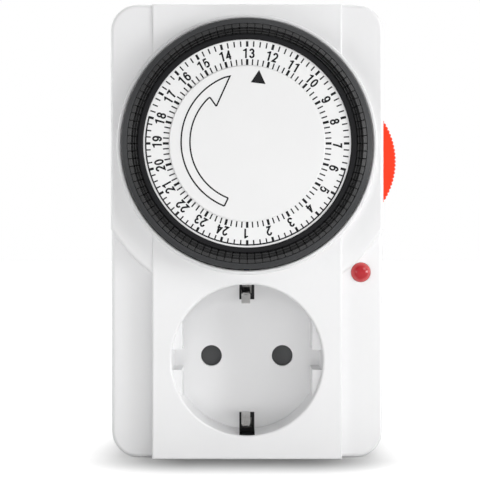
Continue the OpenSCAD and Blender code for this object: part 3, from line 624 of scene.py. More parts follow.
def lens_material():
    """Translucent red with a paler edge painted into its colour: painted light for the dome's
    thin, lit edge.
    """
    glassy = {"Transmission Weight": 0.05, "IOR": 1.49, "Coat Weight": 0.2,
              "Coat Roughness": 0.1, "Specular IOR Level": 0.35}
    # The core is the lens's red; the paler edge red is painted light, mixed in towards the dome's
    # rim.
    core, edge = (0.46, 0.004, 0.012), (0.72, 0.13, 0.13)
    painted_light_from = 0.6 * LENS_R * MM
    material = plastic("lamp_red", core, gloss=0.1, drift=0.06, bump=0.05, bump_mm=0.01, **glassy)
    tree = material.node_tree
    centre, reach = tree.nodes.new("ShaderNodeMapping"), maths(tree, "LENGTH", "VectorMath")
    mix = tree.nodes.new("ShaderNodeMix")
    centre.inputs["Location"].default_value = (-LAMP_X * MM, 0, -LAMP_Y * MM)
    centre.inputs["Scale"].default_value = (1, 0, 1)
    mix.data_type = "RGBA"
    effect, where = (next(node for node in tree.nodes if node.type == kind)
                     for kind in ("GROUP", "TEX_COORD"))
    principled = tree.nodes["Principled BSDF"]
    painted_edge_light = ranged(tree, reach.outputs["Value"], painted_light_from, LENS_R * MM, 0, 1)
    tree.links.new(painted_edge_light, mix.inputs["Factor"])
    mix.inputs["B"].default_value = (*edge, 1)
    wire(tree, (where, "Object", centre, "Vector"), (centre, 0, reach, 0),
         (effect, "Colour", mix, "A"), (mix, "Result", principled, "Base Color"))
    return material


DULL = {"Specular IOR Level": 0.25}
MATT = {"Specular IOR Level": 0.13}
WHITE = plastic("white_abs", (0.80, 0.80, 0.805), gloss=0.36, drift=0.012)
# The dial is one black plastic. The rim and the tappets get lighter copies of it, painted light
# for the lamps that their faces catch.
FLANGE_BLACK = plastic("dial_black", (0.009, 0.009, 0.010), gloss=0.42, drift=0.2, **MATT)
RIM_LIT_GREY = plastic("dial_rim_lit", (0.048, 0.049, 0.051), gloss=0.42, drift=0.12, **MATT)
TAPPET_LIT_BLACK = plastic("tappet_black", (0.046, 0.046, 0.047), gloss=0.34, drift=0.15, **MATT)
PLATE_WHITE = plastic("scale_white", (0.81, 0.81, 0.81), gloss=0.42, drift=0.012, bump=0.1)
DISC_WHITE = plastic("disc_white", (0.80, 0.80, 0.80), gloss=0.42, drift=0.012, bump=0.1)
INK = plastic("black_ink", (0.012, 0.012, 0.013), gloss=0.5, drift=0.3, bump=0.1, **MATT)
ORANGE = plastic("orange_plastic", (1.0, 0.052, 0.017), gloss=0.4, drift=0.04, **MATT)
RED = lens_material()
# Dark grey for the earth slots' walls: painted shade for the dark depth of the slots.
SLOT_PAINTED_SHADE = plastic("slot_painted_shade", (0.034, 0.034, 0.035), gloss=0.6, drift=0.2, **DULL)
SHUTTER_GREY = plastic("shutter_grey", (0.055, 0.056, 0.058), gloss=0.55, drift=0.15)
CHASSIS_GREY = plastic("chassis_grey", (0.42, 0.43, 0.44), gloss=0.45, drift=0.05)
GEAR_IVORY = plastic("gear_ivory", (0.72, 0.66, 0.50), gloss=0.4, drift=0.05)
FERRITE = plastic("ferrite", (0.03, 0.03, 0.033), gloss=0.6, drift=0.2)
WIRE_RED = plastic("wire_red", (0.45, 0.02, 0.015), gloss=0.45, drift=0.08)
WIRE_BLUE = plastic("wire_blue", (0.02, 0.06, 0.30), gloss=0.45, drift=0.08)
NEON = plastic("neon_glass", (0.85, 0.30, 0.12), gloss=0.1, drift=0.1, bump=0.05, bump_mm=0.01)
COPPER = metal("copper_winding", (0.55, 0.24, 0.10), gloss=0.35, bump=0.6, bump_mm=0.1)
BRASS = metal("stamped_brass", (0.72, 0.50, 0.20), gloss=0.28)
NICKEL = metal("nickel_plate", (0.60, 0.595, 0.58), gloss=0.3)
STEEL = metal("zinc_steel", (0.52, 0.53, 0.55), gloss=0.3)
SPRING = metal("spring_steel", (0.46, 0.47, 0.49), gloss=0.25)
SILVER = metal("silver_contact", (0.82, 0.81, 0.79), gloss=0.2)


# ---- Case ----


def recess_contour():
    """The air inside the recess: a circle with a flat each side, a notch in each flat."""
    reach = math.sqrt(RECESS_R**2 - FLAT_X**2)
    half = NOTCH_W / 2
    deep = math.degrees(math.asin(half / RECESS_R))
    edge = math.degrees(math.asin(reach / RECESS_R))
    right = [(FLAT_X, -half)] + arc(0, 0, RECESS_R, -deep, deep, 4) + [(FLAT_X, half)]
    left = [(-x, -y) for x, y in right]
    ring = right + arc(0, 0, RECESS_R, edge, 180 - edge, 48)
    ring += left + arc(0, 0, RECESS_R, 180 + edge, 360 - edge, 48)
    return [(x, y + SOCKET_Y) for x, y in ring]


def stepped_shell():
    """The strips, the boss and the panel with the collar, hollowed from behind."""
    half = PANEL_W / 2
    rise = STRIP_Z - EDGE_R
    levels = edge_levels(PART_Z, STRIP_Z, JOINT_EDGE_R, EDGE_R)
    shell = slab("case_front", case_outline(), levels)
    shell.data.materials.append(WHITE)
    boss = slab("boss", boss_outline(), edge_levels(rise, BOSS_Z, 0, EDGE_R))
    levels = edge_levels(rise, PANEL_Z, 0, PANEL_EDGE_R)
    panel = slab("panel", rect(-half, half, 0, CASE_H), levels)
    collar_in = OPENING_R - 2
    section = [(collar_in, BOSS_Z - 1), (RIM_R, BOSS_Z - 1)]
    section += arc(RIM_R - PANEL_EDGE_R, COLLAR_Z - PANEL_EDGE_R, PANEL_EDGE_R, 0, 90, 4)
    collar = turned("collar", 0, DIAL_Y, section + [(collar_in, COLLAR_Z)])
    combine(shell, "UNION", [boss, panel, collar])
    middle = rect(WALL - half, half - WALL, WALL, CASE_H - WALL)
    rooms = [
        block("strip_room", case_outline(WALL), PART_Z - 1, STRIP_Z - WALL),
        block("boss_room", boss_outline(WALL), PART_Z, BOSS_Z - WALL),
        block("panel_room", middle, PART_Z, PANEL_Z - WALL),
    ]
    return combine(shell, "DIFFERENCE", rooms)


def round_bar(name, x, y, r, z0, z1, steps=64):
    """A round bar from one level to another, to cut with or to join on."""
    return turned(name, x, y, rect(0, r, z0, z1), steps)


def earth_slot(side):
    """Cutters for one earth clip's slot and the way through its floor; their walls get a dark
    grey, painted shade for the slot's dark depth.
    """
    slot = (SLOT_W / 2, SLOT_IN_R, FLOOR_Z - 1.2, PANEL_Z - 1)
    way_through = (SLOT_W / 2 - 0.7, SLOT_IN_R + 1.6, FLOOR_BACK - 1, FLOOR_Z - 1)
    cutters = []
    for half, near, z0, z1 in (slot, way_through):
        y0, y1 = sorted((SOCKET_Y + side * near, SOCKET_Y + side * (TUBE_R - 0.5)))
        cutter = block("slot", rect(-half, half, y0, y1), z0, z1)
        # The slot walls take the dark grey: painted shade.
        cutter.data.materials.append(SLOT_PAINTED_SHADE)
        cutters.append(cutter)
    return cutters


def socket_cuts():
    """The recess with its rounded mouth, the pin holes and the earth clips' slots."""
    mouth_r = RECESS_R + MOUTH_R
    flare = [(0, PANEL_Z - 2), (RECESS_R, PANEL_Z - 2)]
    flare += arc(mouth_r, PANEL_Z - MOUTH_R, MOUTH_R, 180, 90, 6)
    flare += [(mouth_r, PANEL_Z + 1), (0, PANEL_Z + 1)]
    cuts = [
        block("recess", recess_contour(), FLOOR_Z, PANEL_Z - 1.4),
        turned("mouth", 0, SOCKET_Y, flare),
    ]
    for side in (-1, 1):
        hole_x = side * PIN_X
        cuts.append(round_bar("hole", hole_x, SOCKET_Y, PIN_HOLE_R, FLOOR_BACK - 1, FLOOR_Z + 1))
        cuts += earth_slot(side)
    return cuts


def case_front():
    """The front housing with the socket's tube, the recess and the openings."""
    shell = stepped_shell()
    tube_top = PANEL_Z - 0.5
    tube = turned("tube", 0, SOCKET_Y, [
        (0, FLOOR_BACK), (RECESS_R, FLOOR_BACK), (RECESS_R, TUBE_BACK),
        (TUBE_R, TUBE_BACK), (TUBE_R, tube_top), (0, tube_top)])
    combine(shell, "UNION", [tube])
    wide, low, high = OPENING_R + OPENING_EASE, BOSS_Z - 4, COLLAR_Z + 1
    opening = turned("opening", 0, DIAL_Y, [
        (0, low), (OPENING_R, low), (OPENING_R, COLLAR_Z - OPENING_EASE),
        (wide, COLLAR_Z), (wide, high), (0, high)])
    room_top = KNOB_HIGH.z + 0.2
    knob_room = round_bar("knob_room", KNOB_X, KNOB_Y, KNOB_R + 0.3, PART_Z - 1, room_top, 128)
    hole_r = LENS_R + 0.06
    lamp_hole = round_bar("lamp_hole", LAMP_X, LAMP_Y, hole_r, STRIP_Z - 4, STRIP_Z + 1, 48)
    combine(shell, "DIFFERENCE", [opening, knob_room, lamp_hole] + socket_cuts())
    return dress(smooth(shell), WHITE, "case", "white_abs", "front_housing", "socket_insert")


def nose_and_towers():
    """The plug nose and the four screw towers, to be joined to the back cover."""
    root = BACK_Z + WALL / 2
    section = [(0, root), (0, NOSE_BACK)]
    section += arc(NOSE_R - NOSE_EDGE_R, NOSE_BACK + NOSE_EDGE_R, NOSE_EDGE_R, 270, 360, 4)
    pieces = [turned("nose", 0, SOCKET_Y, section + [(NOSE_R, root)])]
    for x, y in CASE_SCREWS:
        pieces.append(round_bar("tower", x, y, TOWER_R, root, PART_Z, 48))
    return pieces


def screw_bore(x, y):
    """The cutter for one case screw: a mouth that narrows to the head, then the shank's hole."""
    mouth, ease = SCREW_HEAD_R + 0.3, BACK_Z + 0.3
    return turned("bore", x, y, [
        (0, BACK_Z - 1), (mouth, BACK_Z - 1), (mouth, BACK_Z), (SCREW_HEAD_R, ease),
        (SCREW_HEAD_R, SCREW_SEAT_Z), (SCREW_SHANK_R, SCREW_SEAT_Z),
        (SCREW_SHANK_R, PART_Z + 1), (0, PART_Z + 1)], 48)


def nose_cuts(side):
    """One guide groove and one earth strip's seat in the plug nose."""
    half, strip = NOTCH_W / 2, EARTH_STRIP_W / 2 + 0.02
    x0, x1 = sorted((side * FLAT_X, side * (NOSE_R + 1)))
    y0, y1 = sorted((SOCKET_Y + side * (NOSE_R - EARTH_STRIP_T), SOCKET_Y + side * (NOSE_R + 1)))
    groove = rect(x0, x1, SOCKET_Y - half, SOCKET_Y + half)
    return [
        block("groove", groove, NOSE_BACK - 1, BACK_Z - 0.01),
        block("strip", rect(-strip, strip, y0, y1), NOSE_BACK + 0.5, BACK_Z + 3),
    ]


def case_back():
    """The back cover with the plug nose, its grooves and its screw holes."""
    levels = edge_levels(BACK_Z, PART_Z, EDGE_R, JOINT_EDGE_R)
    cover = slab("case_back", case_outline(), levels)
    cavity = block("cavity", case_outline(WALL), BACK_Z + WALL, PART_Z + 1)
    combine(cover, "DIFFERENCE", [cavity])
    combine(cover, "UNION", nose_and_towers())
    bores = [screw_bore(x, y) for x, y in CASE_SCREWS]
    combine(cover, "DIFFERENCE", bores + nose_cuts(-1) + nose_cuts(1))
    return dress(smooth(cover), WHITE, "case", "white_abs", "back_cover")


# ---- Dial ----


def wheel_skirt():
    """The black outer skirt, with a rim that slopes down to its outer edge."""
    z0, top, inner, outer = WHEEL_Z, DIAL_TOP - 0.45, SLOT_OUTER_R, DIAL_R
    low = DIAL_TOP - RIM_FALL
    skirt = turned("dial_skirt", 0, DIAL_Y, [
        (inner, z0), (outer - WHEEL_EDGE_R, z0), (outer, z0 + WHEEL_EDGE_R),
        (outer, low), (outer - 0.1, low + 0.25), (inner + 0.12, top), (inner, top - 0.1)],
        FINE_STEPS)
    # The skirt takes the rim's lighter copy of the black: painted light on its lit slope.
    dress(smooth(skirt, 25), RIM_LIT_GREY, "dial", "dial_black")


def guide_ribs():
    """The ribs that keep the tappets' shanks apart."""
    inner, outer = SLOT_INNER_R - 0.1, SLOT_OUTER_R + 0.1
    thin, thick = 0.26, 0.35
    outline = [(inner, -thin), (outer, -thick), (outer, thick), (inner, thin)]
    rib = block("ribs", outline, GUIDE_LOW, GUIDE_TOP)
    return round_row(rib, TAPPETS, 0, 360 / TAPPETS, FLANGE_BLACK)


def internal_gear():
    """The teeth inside the collar, which the clutch pinion turns."""
    half = [(22.1, 0.19), (23.3, 0.43), (COLLAR_IN_R + 0.1, 0.9)]
    outline = [(r, -w) for r, w in half] + half[::-1]
    tooth = block("teeth", outline, WHEEL_Z, WHEEL_Z + GEAR_L)
    return round_row(tooth, GEAR_TEETH, GEAR_START, 360 / GEAR_TEETH, FLANGE_BLACK)


def wheel():
    """The dial wheel's body: collar, web, hub, guide ribs and internal gear."""
    z0, inner, outer = WHEEL_Z, COLLAR_IN_R, SLOT_INNER_R
    collar = turned("collar", 0, DIAL_Y, [
        (inner, z0), (outer, z0), (outer, WHEEL_COLLAR_TOP - 0.2), (outer - 0.2, WHEEL_COLLAR_TOP),
        (inner + 0.2, WHEEL_COLLAR_TOP), (inner, WHEEL_COLLAR_TOP - 0.2)], FINE_STEPS)
    web = turned("web", 0, DIAL_Y, rect(WEB_IN_R, inner + 0.1, WEB_TOP - WEB_T, WEB_TOP))
    hub = turned("hub", 0, DIAL_Y, rect(POST_HOLE_R, HUB_R, z0, WEB_TOP), 64)
    body = join("dial_wheel_body", [collar, web, hub, guide_ribs(), internal_gear()])
    body.data.materials.clear()
    dress(smooth(body), FLANGE_BLACK, "dial", "dial_black", "dial_wheel")


def ridge(r):
    """A low ridge across a tappet's step, from its outer foot to its inner foot."""
    top, end = RIDGE_TOP, r + RIDGE_W
    return [(end, STEP_Z), (end, top - RIDGE_CHAMFER), (end - RIDGE_CHAMFER, top),
            (r + RIDGE_CHAMFER, top), (r, top - RIDGE_CHAMFER), (r, STEP_Z)]


def head_outline():
    """A tappet's head from the side: a tall outer block and two ridges on its step."""
    inner, outer, top = TAPPET_INNER_R, TAPPET_OUTER_R, DIAL_TOP
    block = outer - BLOCK_L
    outline = [(inner, CROWN_Z), (outer, CROWN_Z), (outer, top - BLOCK_FALL),
               (block + HEAD_EASE, top), (block, top - HEAD_EASE), (block, STEP_Z)]
    for offset in RIDGES_AT:
        outline += ridge(inner + offset)
    return outline + [(inner + HEAD_EASE, STEP_Z), (inner, STEP_Z - HEAD_EASE)]


def tappet(name):
    """One tappet at angle 0 about the origin: a flat shank under a head that widens outwards."""
    share = math.tan(math.pi / TAPPETS)
    bm = bmesh.new()
    # Drawn flat in (r, z), then stood up so that its width runs along the tangent.
    add_slab(bm, head_outline(), edge_levels(-1, 1, 0.12, 0.12, 1))
    for vert in bm.verts:
        vert.co.z *= vert.co.x * share - HEAD_GAP / 2
    shank = rect(TAPPET_INNER_R, TAPPET_OUTER_R, SHANK_Z, CROWN_Z + 0.05)
    add_slab(bm, shank, edge_levels(-TAPPET_W / 2, TAPPET_W / 2, 0.1, 0.1, 1))
    bm.transform(Matrix.Rotation(math.radians(90), 4, "X"))
    return mesh_object(name, bm)


def tappet_rows():
    """Eight rows of twelve tappets, one row for each three hours."""
    pitch = 360 / TAPPETS
    for row in range(TAPPETS // GROUP):
        node = f"tappets_{row * 3:02d}_{row * 3 + 3:02d}"
        piece = tappet(node + "_row")
        start = 90 - FIRST_HOUR * DEG_PER_HOUR + (row * GROUP + 0.5) * pitch
        round_row(piece, GROUP, start, pitch, TAPPET_LIT_BLACK)
        # The tappets take a lighter copy of the black: painted light on their tops.
        dress(smooth(piece), TAPPET_LIT_BLACK, node, "tappet_black", node)


def scale_plate():
    """The white hour ring that turns with the wheel."""
    plate = turned("hour_ring", 0, DIAL_Y, [
        (RING_INNER, WEB_TOP), (SCALE_R, WEB_TOP), (SCALE_R, SCALE_TOP - 0.1),
        (SCALE_R - 0.1, SCALE_TOP), (RING_INNER, SCALE_TOP)], FINE_STEPS)
    dress(smooth(plate), PLATE_WHITE, "dial", "scale_white", "scale_ring")


def fixed_disc():
    """The white disc on its spigot, which stays when the ring turns."""
    low, foot = SCALE_TOP + 0.1, DISC_LOW.z
    disc = turned("pointer_disc", 0, DIAL_Y, [
        (0, foot + 0.2), (SPIGOT_R, foot), (SPIGOT_R, low), (DISC_R - 0.1, low),
        (DISC_R, low + 0.1), (DISC_R, DISC_TOP - 0.2), (DISC_R - 0.2, DISC_TOP),
        (0, DISC_TOP)], FINE_STEPS)
    dress(smooth(disc), DISC_WHITE, "case", "scale_white", "centre_disc")


# ---- Printing ----

INK_T = 0.03
LIFT_STEP = 0.004
TICK_W = 0.34
HOUR_TICK_W = 0.62
DIGIT_H = 2.5
DIGIT_W = 1.42
DIGIT_STEP = 1.64
DIGIT_LINE = 0.45
DIGIT_LOW_R = 21.72
DIGIT_LEAN = 1.0
MITRE_LIMIT = 0.12
OUTER_TICKS = (24.65, 26.05)
INNER_TICKS = (DISC_R + 0.08, 21.5)
NIGHT_LINE_IN_R = 25.68
ARROW_LINE = 0.38


def flat_print(name, outline, z, holes=(), lift=0):
    """A thin raised print; the lift keeps the tops of crossing lines apart."""
    return block(name, outline, z, z + INK_T - LIFT_STEP * lift, holes)


def ticks(name, reach, width, count, lift):
    """Equal radial lines all round the scale, between two radii."""
    mark = flat_print(name, rect(*reach, -width / 2, width / 2), SCALE_TOP, lift=lift)
    return round_row(mark, count, 90, 360 / count, INK)


def stroke(points, width):
    """Both sides of an open line with mitred corners, as one closed outline."""
    left, right = [], []
    for i, point in enumerate(points):
        here = Vector(point)
        a = (here - Vector(points[i - 1])).normalized() if i else None
        b = (Vector(points[i + 1]) - here).normalized() if i < len(points) - 1 else None
        a, b = a or b, b or a
        normal = Vector((-a.y - b.y, a.x + b.x)) * (width / 2) / max(1 + a.dot(b), MITRE_LIMIT)
        left.append(here + normal)
        right.append(here - normal)
    return right + left[::-1]


def oval(cx, cy, rx, ry, start=0, end=360, steps=24):
    """Points of an ellipse arc."""
    return [(cx + rx * x, cy + ry * y) for x, y in arc(0, 0, 1, start, end, steps)]


def glyph(digit):
    """A figure's shapes, each an outline and its holes, in a box of DIGIT_W by DIGIT_H."""
    half = DIGIT_LINE / 2
    w, h = DIGIT_W - DIGIT_LINE, DIGIT_H - DIGIT_LINE

    def line(points):
        """A drawn line, its points counted from 0 to 1 over the box."""
        return (stroke([(half + x * w, half + y * h) for x, y in points], DIGIT_LINE), [])

    def bowl(cx, cy, rx, ry):
        """A closed bowl in the same box: its outline and its hole."""
        outer, hole = (oval(half + cx * w, half + cy * h, rx * w + edge, ry * h + edge)[:-1]
                       for edge in (half, -half))
        return (outer, [hole])

    if digit == 0:
        return [bowl(0.5, 0.5, 0.5, 0.5)]
    if digit == 1:
        x = half + 0.62 * w
        return [([(x - half, 0), (x + half, 0), (x + half, DIGIT_H), (x - 0.4 * half, DIGIT_H),
                  (x - 2.6 * half, 0.86 * DIGIT_H), (x - 3.4 * half, 0.84 * DIGIT_H),
                  (x - 3.4 * half, 0.72 * DIGIT_H), (x - half, 0.74 * DIGIT_H)], [])]
    if digit == 2:
        return [line(oval(0.5, 0.7, 0.48, 0.3, 175, -35, 16) + [(0.05, 0.0), (1.0, 0.0)])]
    if digit == 3:
        upper = oval(0.46, 0.765, 0.46, 0.235, 170, -90, 16)
        lower = oval(0.46, 0.265, 0.52, 0.265, 90, -170, 18)
        return [line(upper + [(0.34, 0.53)]), line([(0.34, 0.53)] + lower)]
    if digit == 4:
        slope = [(0.74, 0.98), (-0.02, 0.27), (1.1, 0.27)]
        return [line(slope), line([(0.74, -0.08), (0.74, 1.08)])]
    if digit == 5:
        lower = oval(0.48, 0.32, 0.5, 0.32, 122, -140, 18)
        return [line([(0.95, 1.0), (0.2, 1.0), (0.09, 0.5)] + lower)]
    if digit == 7:
        return [line([(0.0, 1.0), (1.0, 1.0), (0.62, 0.52), (0.36, -0.06)])]
    if digit == 8:
        return [bowl(0.5, 0.76, 0.43, 0.24), bowl(0.5, 0.27, 0.5, 0.27)]
    six = [bowl(0.5, 0.31, 0.5, 0.31), line(oval(0.56, 0.42, 0.56, 0.58, 182, 35, 14))]
    if digit == 6:
        return six

    def turned_over(points):
        """The 9 is the 6 turned over."""
        return [(DIGIT_W - x, DIGIT_H - y) for x, y in points]

    return [(turned_over(outer), [turned_over(hole) for hole in holes]) for outer, holes in six]


def numeral(hour):
    """One hour's figures, upright towards the rim."""
    figures = [int(letter) for letter in str(hour)]
    turn = math.radians((hour - FIRST_HOUR) * DEG_PER_HOUR - DIGIT_LEAN)
    start = -(DIGIT_W + DIGIT_STEP * (len(figures) - 1)) / 2

    def place(points, shift):
        moved = []
        for x, y in points:
            x, y = x + shift, y + DIGIT_LOW_R
            moved.append((x * math.cos(turn) - y * math.sin(turn),
                          DIAL_Y + x * math.sin(turn) + y * math.cos(turn)))
        return moved

    marks = []
    for i, figure in enumerate(figures):
        shift = start + i * DIGIT_STEP
        for lift, (outer, holes) in enumerate(glyph(figure)):
            rings = [place(hole, shift) for hole in holes]
            outline = place(outer, shift)
            marks.append(flat_print(f"hour_{hour}_{i}", outline, SCALE_TOP, rings, lift))
    return marks


def print_scale():
    """The 24 hour scale on the turning ring."""
    marks = [
        ticks("outer_ticks", OUTER_TICKS, TICK_W, TAPPETS, 1),
        ticks("outer_hours", OUTER_TICKS, HOUR_TICK_W, HOURS, 2),
        ticks("inner_ticks", INNER_TICKS, TICK_W, TAPPETS, 1),
        ticks("inner_hours", INNER_TICKS, HOUR_TICK_W, HOURS, 2),
    ]
    night = arc(0, DIAL_Y, OUTER_TICKS[1], NIGHT_START, NIGHT_END, 96)
    night += arc(0, DIAL_Y, NIGHT_LINE_IN_R, NIGHT_END, NIGHT_START, 96)
    marks.append(flat_print("night_arc", night, SCALE_TOP))
    for hour in range(1, HOURS + 1):
        marks += numeral(hour)
    scale = join("scale_print", marks)
    scale.data.materials.clear()
    dress(scale, INK, "dial", "scale_white")


def print_disc():
    """The pointer and the outlined turning arrow on the fixed disc."""
    outer_r, inner_r = 17.67, 15.42
    outer_start, outer_tail = 112, 247.8
    inner_start, inner_tail = 134, 248.3
    centre = (0.85, DIAL_Y + 0.40)
    pointer = [(0.92, 15.55), (4.68, 15.08), (3.03, 18.68)]

    def polar(r, degrees):
        """A point of the arrow's head, its angle counted from the top."""
        a = math.radians(90 + degrees)
        return (r * math.cos(a), DIAL_Y + r * math.sin(a))

    tip, barb, notch = polar(17.67, 14.35), polar(12.27, 39.8), polar(15.03, 39.0)
    outer = arc(*centre, outer_r, outer_start, outer_tail, 48)
    inner = arc(*centre, inner_r, inner_tail, inner_start, 40)
    runs = [[barb, tip] + outer, [outer[-1], inner[0]], inner + [notch], [notch, barb]]
    marks = [flat_print("pointer", [(x, y + DIAL_Y) for x, y in pointer], DISC_TOP)]
    for i, run in enumerate(runs):
        marks.append(flat_print(f"arrow_{i}", stroke(run, ARROW_LINE), DISC_TOP, lift=i))
    dress(join("disc_print", marks), INK, "case", "scale_white")


# ---- Knob, lamp, plug and earth ----


def knob():
    """The ribbed override knob: a wedge with a hub, ribs along its rim."""
    half, plain = KNOB_HALF_TURN, KNOB_RIBBED_TO + 2
    last = int(KNOB_RIBBED_TO / KNOB_RIB)
    valley, shoulder = KNOB_R - 0.32, KNOB_R - 0.04
    ribs = []
    for i in range(-last, last + 1):
        for step, r in ((-0.5, valley), (-0.25, shoulder), (0, KNOB_R), (0.25, shoulder)):
            a = math.radians((i + step) * KNOB_RIB)
            ribs.append((r * math.cos(a), r * math.sin(a)))
    start = arc(0, 0, KNOB_R, -half, -plain, 8)
    end = arc(0, 0, KNOB_R, plain, half, 8)
    hub = arc(0, 0, KNOB_HUB_R, half + 30, 360 - half - 30, 24)
    outline = [(x + KNOB_X, y + KNOB_Y) for x, y in start + ribs + end + hub]
    bore = arc(KNOB_X, KNOB_Y, KNOB_BORE_R, 0, 360, 48)[:-1]
    levels = edge_levels(KNOB_LOW.z, KNOB_HIGH.z, 0.3, 0.3, 2)
    piece = slab("override_knob", outline, levels, [bore])
    dress(smooth(piece), ORANGE, "override", "orange_plastic", "override_lever")


def lens():
    """The pilot lamp's lens: a flange inside the case and a dome that stands out."""
    z0, top = LENS_LOW.z, LENS_HIGH.z
    dome = top - STRIP_Z
    r = (LENS_R**2 + dome**2) / (2 * dome)
    reach = math.degrees(math.asin(LENS_R / r))
    flange = z0 + LENS_FLANGE_T
    section = [(0, z0), (LENS_FLANGE_R, z0), (LENS_FLANGE_R, flange), (LENS_R, flange)]
    section += arc(0, top - r, r, 90 - reach, 90, 10)
    piece = turned("lamp_lens_dome", LAMP_X, LAMP_Y, section, 64)
    dress(smooth(piece, 40), RED, "case", "red_lens", "lamp_lens")


def plug_pins():
    """Both plug pins with their rounded tips, and the thin tails inside the nose."""
    end = PIN_HIGH.z
    section = [(0, PIN_TIP)]
    section += arc(PLUG_PIN_R - PIN_EDGE_R, PIN_TIP + PIN_EDGE_R, PIN_EDGE_R, 270, 360, 6)
    section += [(PLUG_PIN_R, NOSE_BACK), (PIN_TAIL_R, NOSE_BACK), (PIN_TAIL_R, end), (0, end)]
    for side, node in ((1, "plug_pin_live"), (-1, "plug_pin_neutral")):
        piece = turned(node + "_turned", side * PIN_X, SOCKET_Y, section, 64)
        dress(smooth(piece, 40), NICKEL, "case", "nickel_brass", node)


def bent_path(path, bend_r=1.4, steps=5):
    """A path of a few points with its corners rounded."""
    line = [Vector(path[0])]
    for before, here, after in zip(path, path[1:], path[2:]):
        here = Vector(here)
        a = here + (Vector(before) - here).normalized() * bend_r
        b = here + (Vector(after) - here).normalized() * bend_r
        for i in range(steps + 1):
            t = i / steps
            line.append(a * (1 - t) ** 2 + here * 2 * t * (1 - t) + b * t * t)
    line.append(Vector(path[-1]))
    return line


def tipped(line, half, steps=6):
    """Stations along a line and half widths that close its end in a half round."""
    end, way = line[-1], (line[-1] - line[-2]).normalized()
    stations = [(point, half) for point in line[:-1]]
    for i in range(steps + 1):
        a = math.radians(88 * i / steps)
        stations.append((end - way * half * (1 - math.sin(a)), half * math.cos(a)))
    return stations


def clip(side):
    """One sprung clip: a bent strip with a half round tip."""
    stations = tipped(bent_path(CLIP_PATH), CLIP_W / 2)
    bm = bmesh.new()
    rows = []
    for i, (point, half) in enumerate(stations):
        a, b = stations[max(i - 1, 0)][0], stations[min(i + 1, len(stations) - 1)][0]
        way = (b - a).normalized()
        normal = Vector((-way.y, way.x)) * CLIP_T / 2
        row = []
        for offset, x in ((normal, half), (normal, -half), (-normal, -half), (-normal, half)):
            z, r = point + offset
            row.append(bm.verts.new((x + CLIP_SHIFT, SOCKET_Y + side * r, z)))
        rows.append(row)
    for low, high in zip(rows, rows[1:]):
        for i in range(4):
            j = (i + 1) % 4
            bm.faces.new((low[i], low[j], high[j], high[i]))
    bm.faces.new(rows[0])
    bm.faces.new(rows[-1][::-1])
    piece = mesh_object("clip", bm)
    edge = piece.modifiers.new("edge", "BEVEL")
    edge.width, edge.segments, edge.limit_method = CLIP_EDGE_R * MM, 2, "ANGLE"
    edge.angle_limit = math.radians(50)
    bake_modifiers(piece)
    return piece


def earth():
    """Both sprung clips, the cross strip and the plug's earth strips, as one bent piece."""
    half, reach = EARTH_STRIP_W / 2, NOSE_R - 0.1
    bar = rect(-half, half, SOCKET_Y - reach, SOCKET_Y + reach)
    parts = [block("cross", bar, CROSS_Z - 0.4, CROSS_Z + 0.38)]
    levels = edge_levels(EARTH_LOW.z, CROSS_Z + 0.4, 0.2, 0, 1)
    for side in (1, -1):
        parts.append(clip(side))
        y0, y1 = sorted((SOCKET_Y + side * (NOSE_R - EARTH_STRIP_T), SOCKET_Y + side * NOSE_R))
        parts.append(slab("plug_strip", rect(-half, half, y0, y1), levels))
    dress(smooth(join("earth_strip", parts)), NICKEL, "case", "nickel_brass", "earth_bracket")


# ---- CAD nodes that keep their shape ----

KEPT = {
    CHASSIS_GREY: ["chassis_plate", "shutter_cover"],
    STEEL: ["dial_washer", "motor_can", "motor_plate", "case_screws", "chassis_screws"],
    SPRING: ["arbor_a", "arbor_b", "switch_pin", "switch_spring", "detent_spring",
             "shutter_spring", "clutch_spring"],
    COPPER: ["motor_coil"],
    FERRITE: ["rotor"],
    GEAR_IVORY: ["gear_1", "gear_2", "gear_3", "gear_4", "gear_5", "clutch_wheel", "switch_lever"],
    BRASS: ["clutch_pinion", "moving_blade", "fixed_blade", "blade_terminal", "contact_live",
            "contact_neutral", "live_link", "live_busbar", "neutral_busbar"],
    SILVER: ["moving_contact", "fixed_contact"],
    SHUTTER_GREY: ["shutter", "switch_base"],
    NEON: ["neon_lamp"],
    WIRE_RED: ["lamp_leads"],
    WIRE_BLUE: ["motor_leads"],
}


def paint_kept_nodes():
    """The pieces inside the case that keep their CAD shape get their materials."""
    for material, names in KEPT.items():
        for name in names:
            nodes[name].data.materials.clear()
            nodes[name].data.materials.append(material)


# ---- Stage ----

CAMERA_X = -1.83
CAMERA_Z = 56.6
CAMERA_AWAY = 430.0
VIEW_WIDTH = 123.74
SENSOR = 36.0
WORLD_LIGHT = 0.12
FLOOR_HALF = 4.0
# FLOOR_GREY is kept dark so that a painted shadow shows round the case: the floor is lifted to
# white only away from the case. SHADOW_HALF gives the half sizes of the shadow's flat middle and
# SHADOW_REACH how far it fades, in millimetres.
FLOOR_GREY = 0.25
FLOOR_LIFT = 0.95
SHADOW_HALF = (14.0, 20.0)
SHADOW_REACH = 37.0


def camera():
    """The camera in front of the panel, level, at the height of the case's middle."""
    data = bpy.data.cameras.new("camera")
    data.sensor_width = SENSOR
    data.lens = SENSOR * CAMERA_AWAY / VIEW_WIDTH
    data.clip_start = 0.01
    obj = in_scene("camera", data)
    obj.location = (CAMERA_X * MM, -(PANEL_Z + CAMERA_AWAY) * MM, CAMERA_Z * MM)
    obj.rotation_euler = (math.radians(90), 0, 0)
    bpy.context.scene.camera = obj


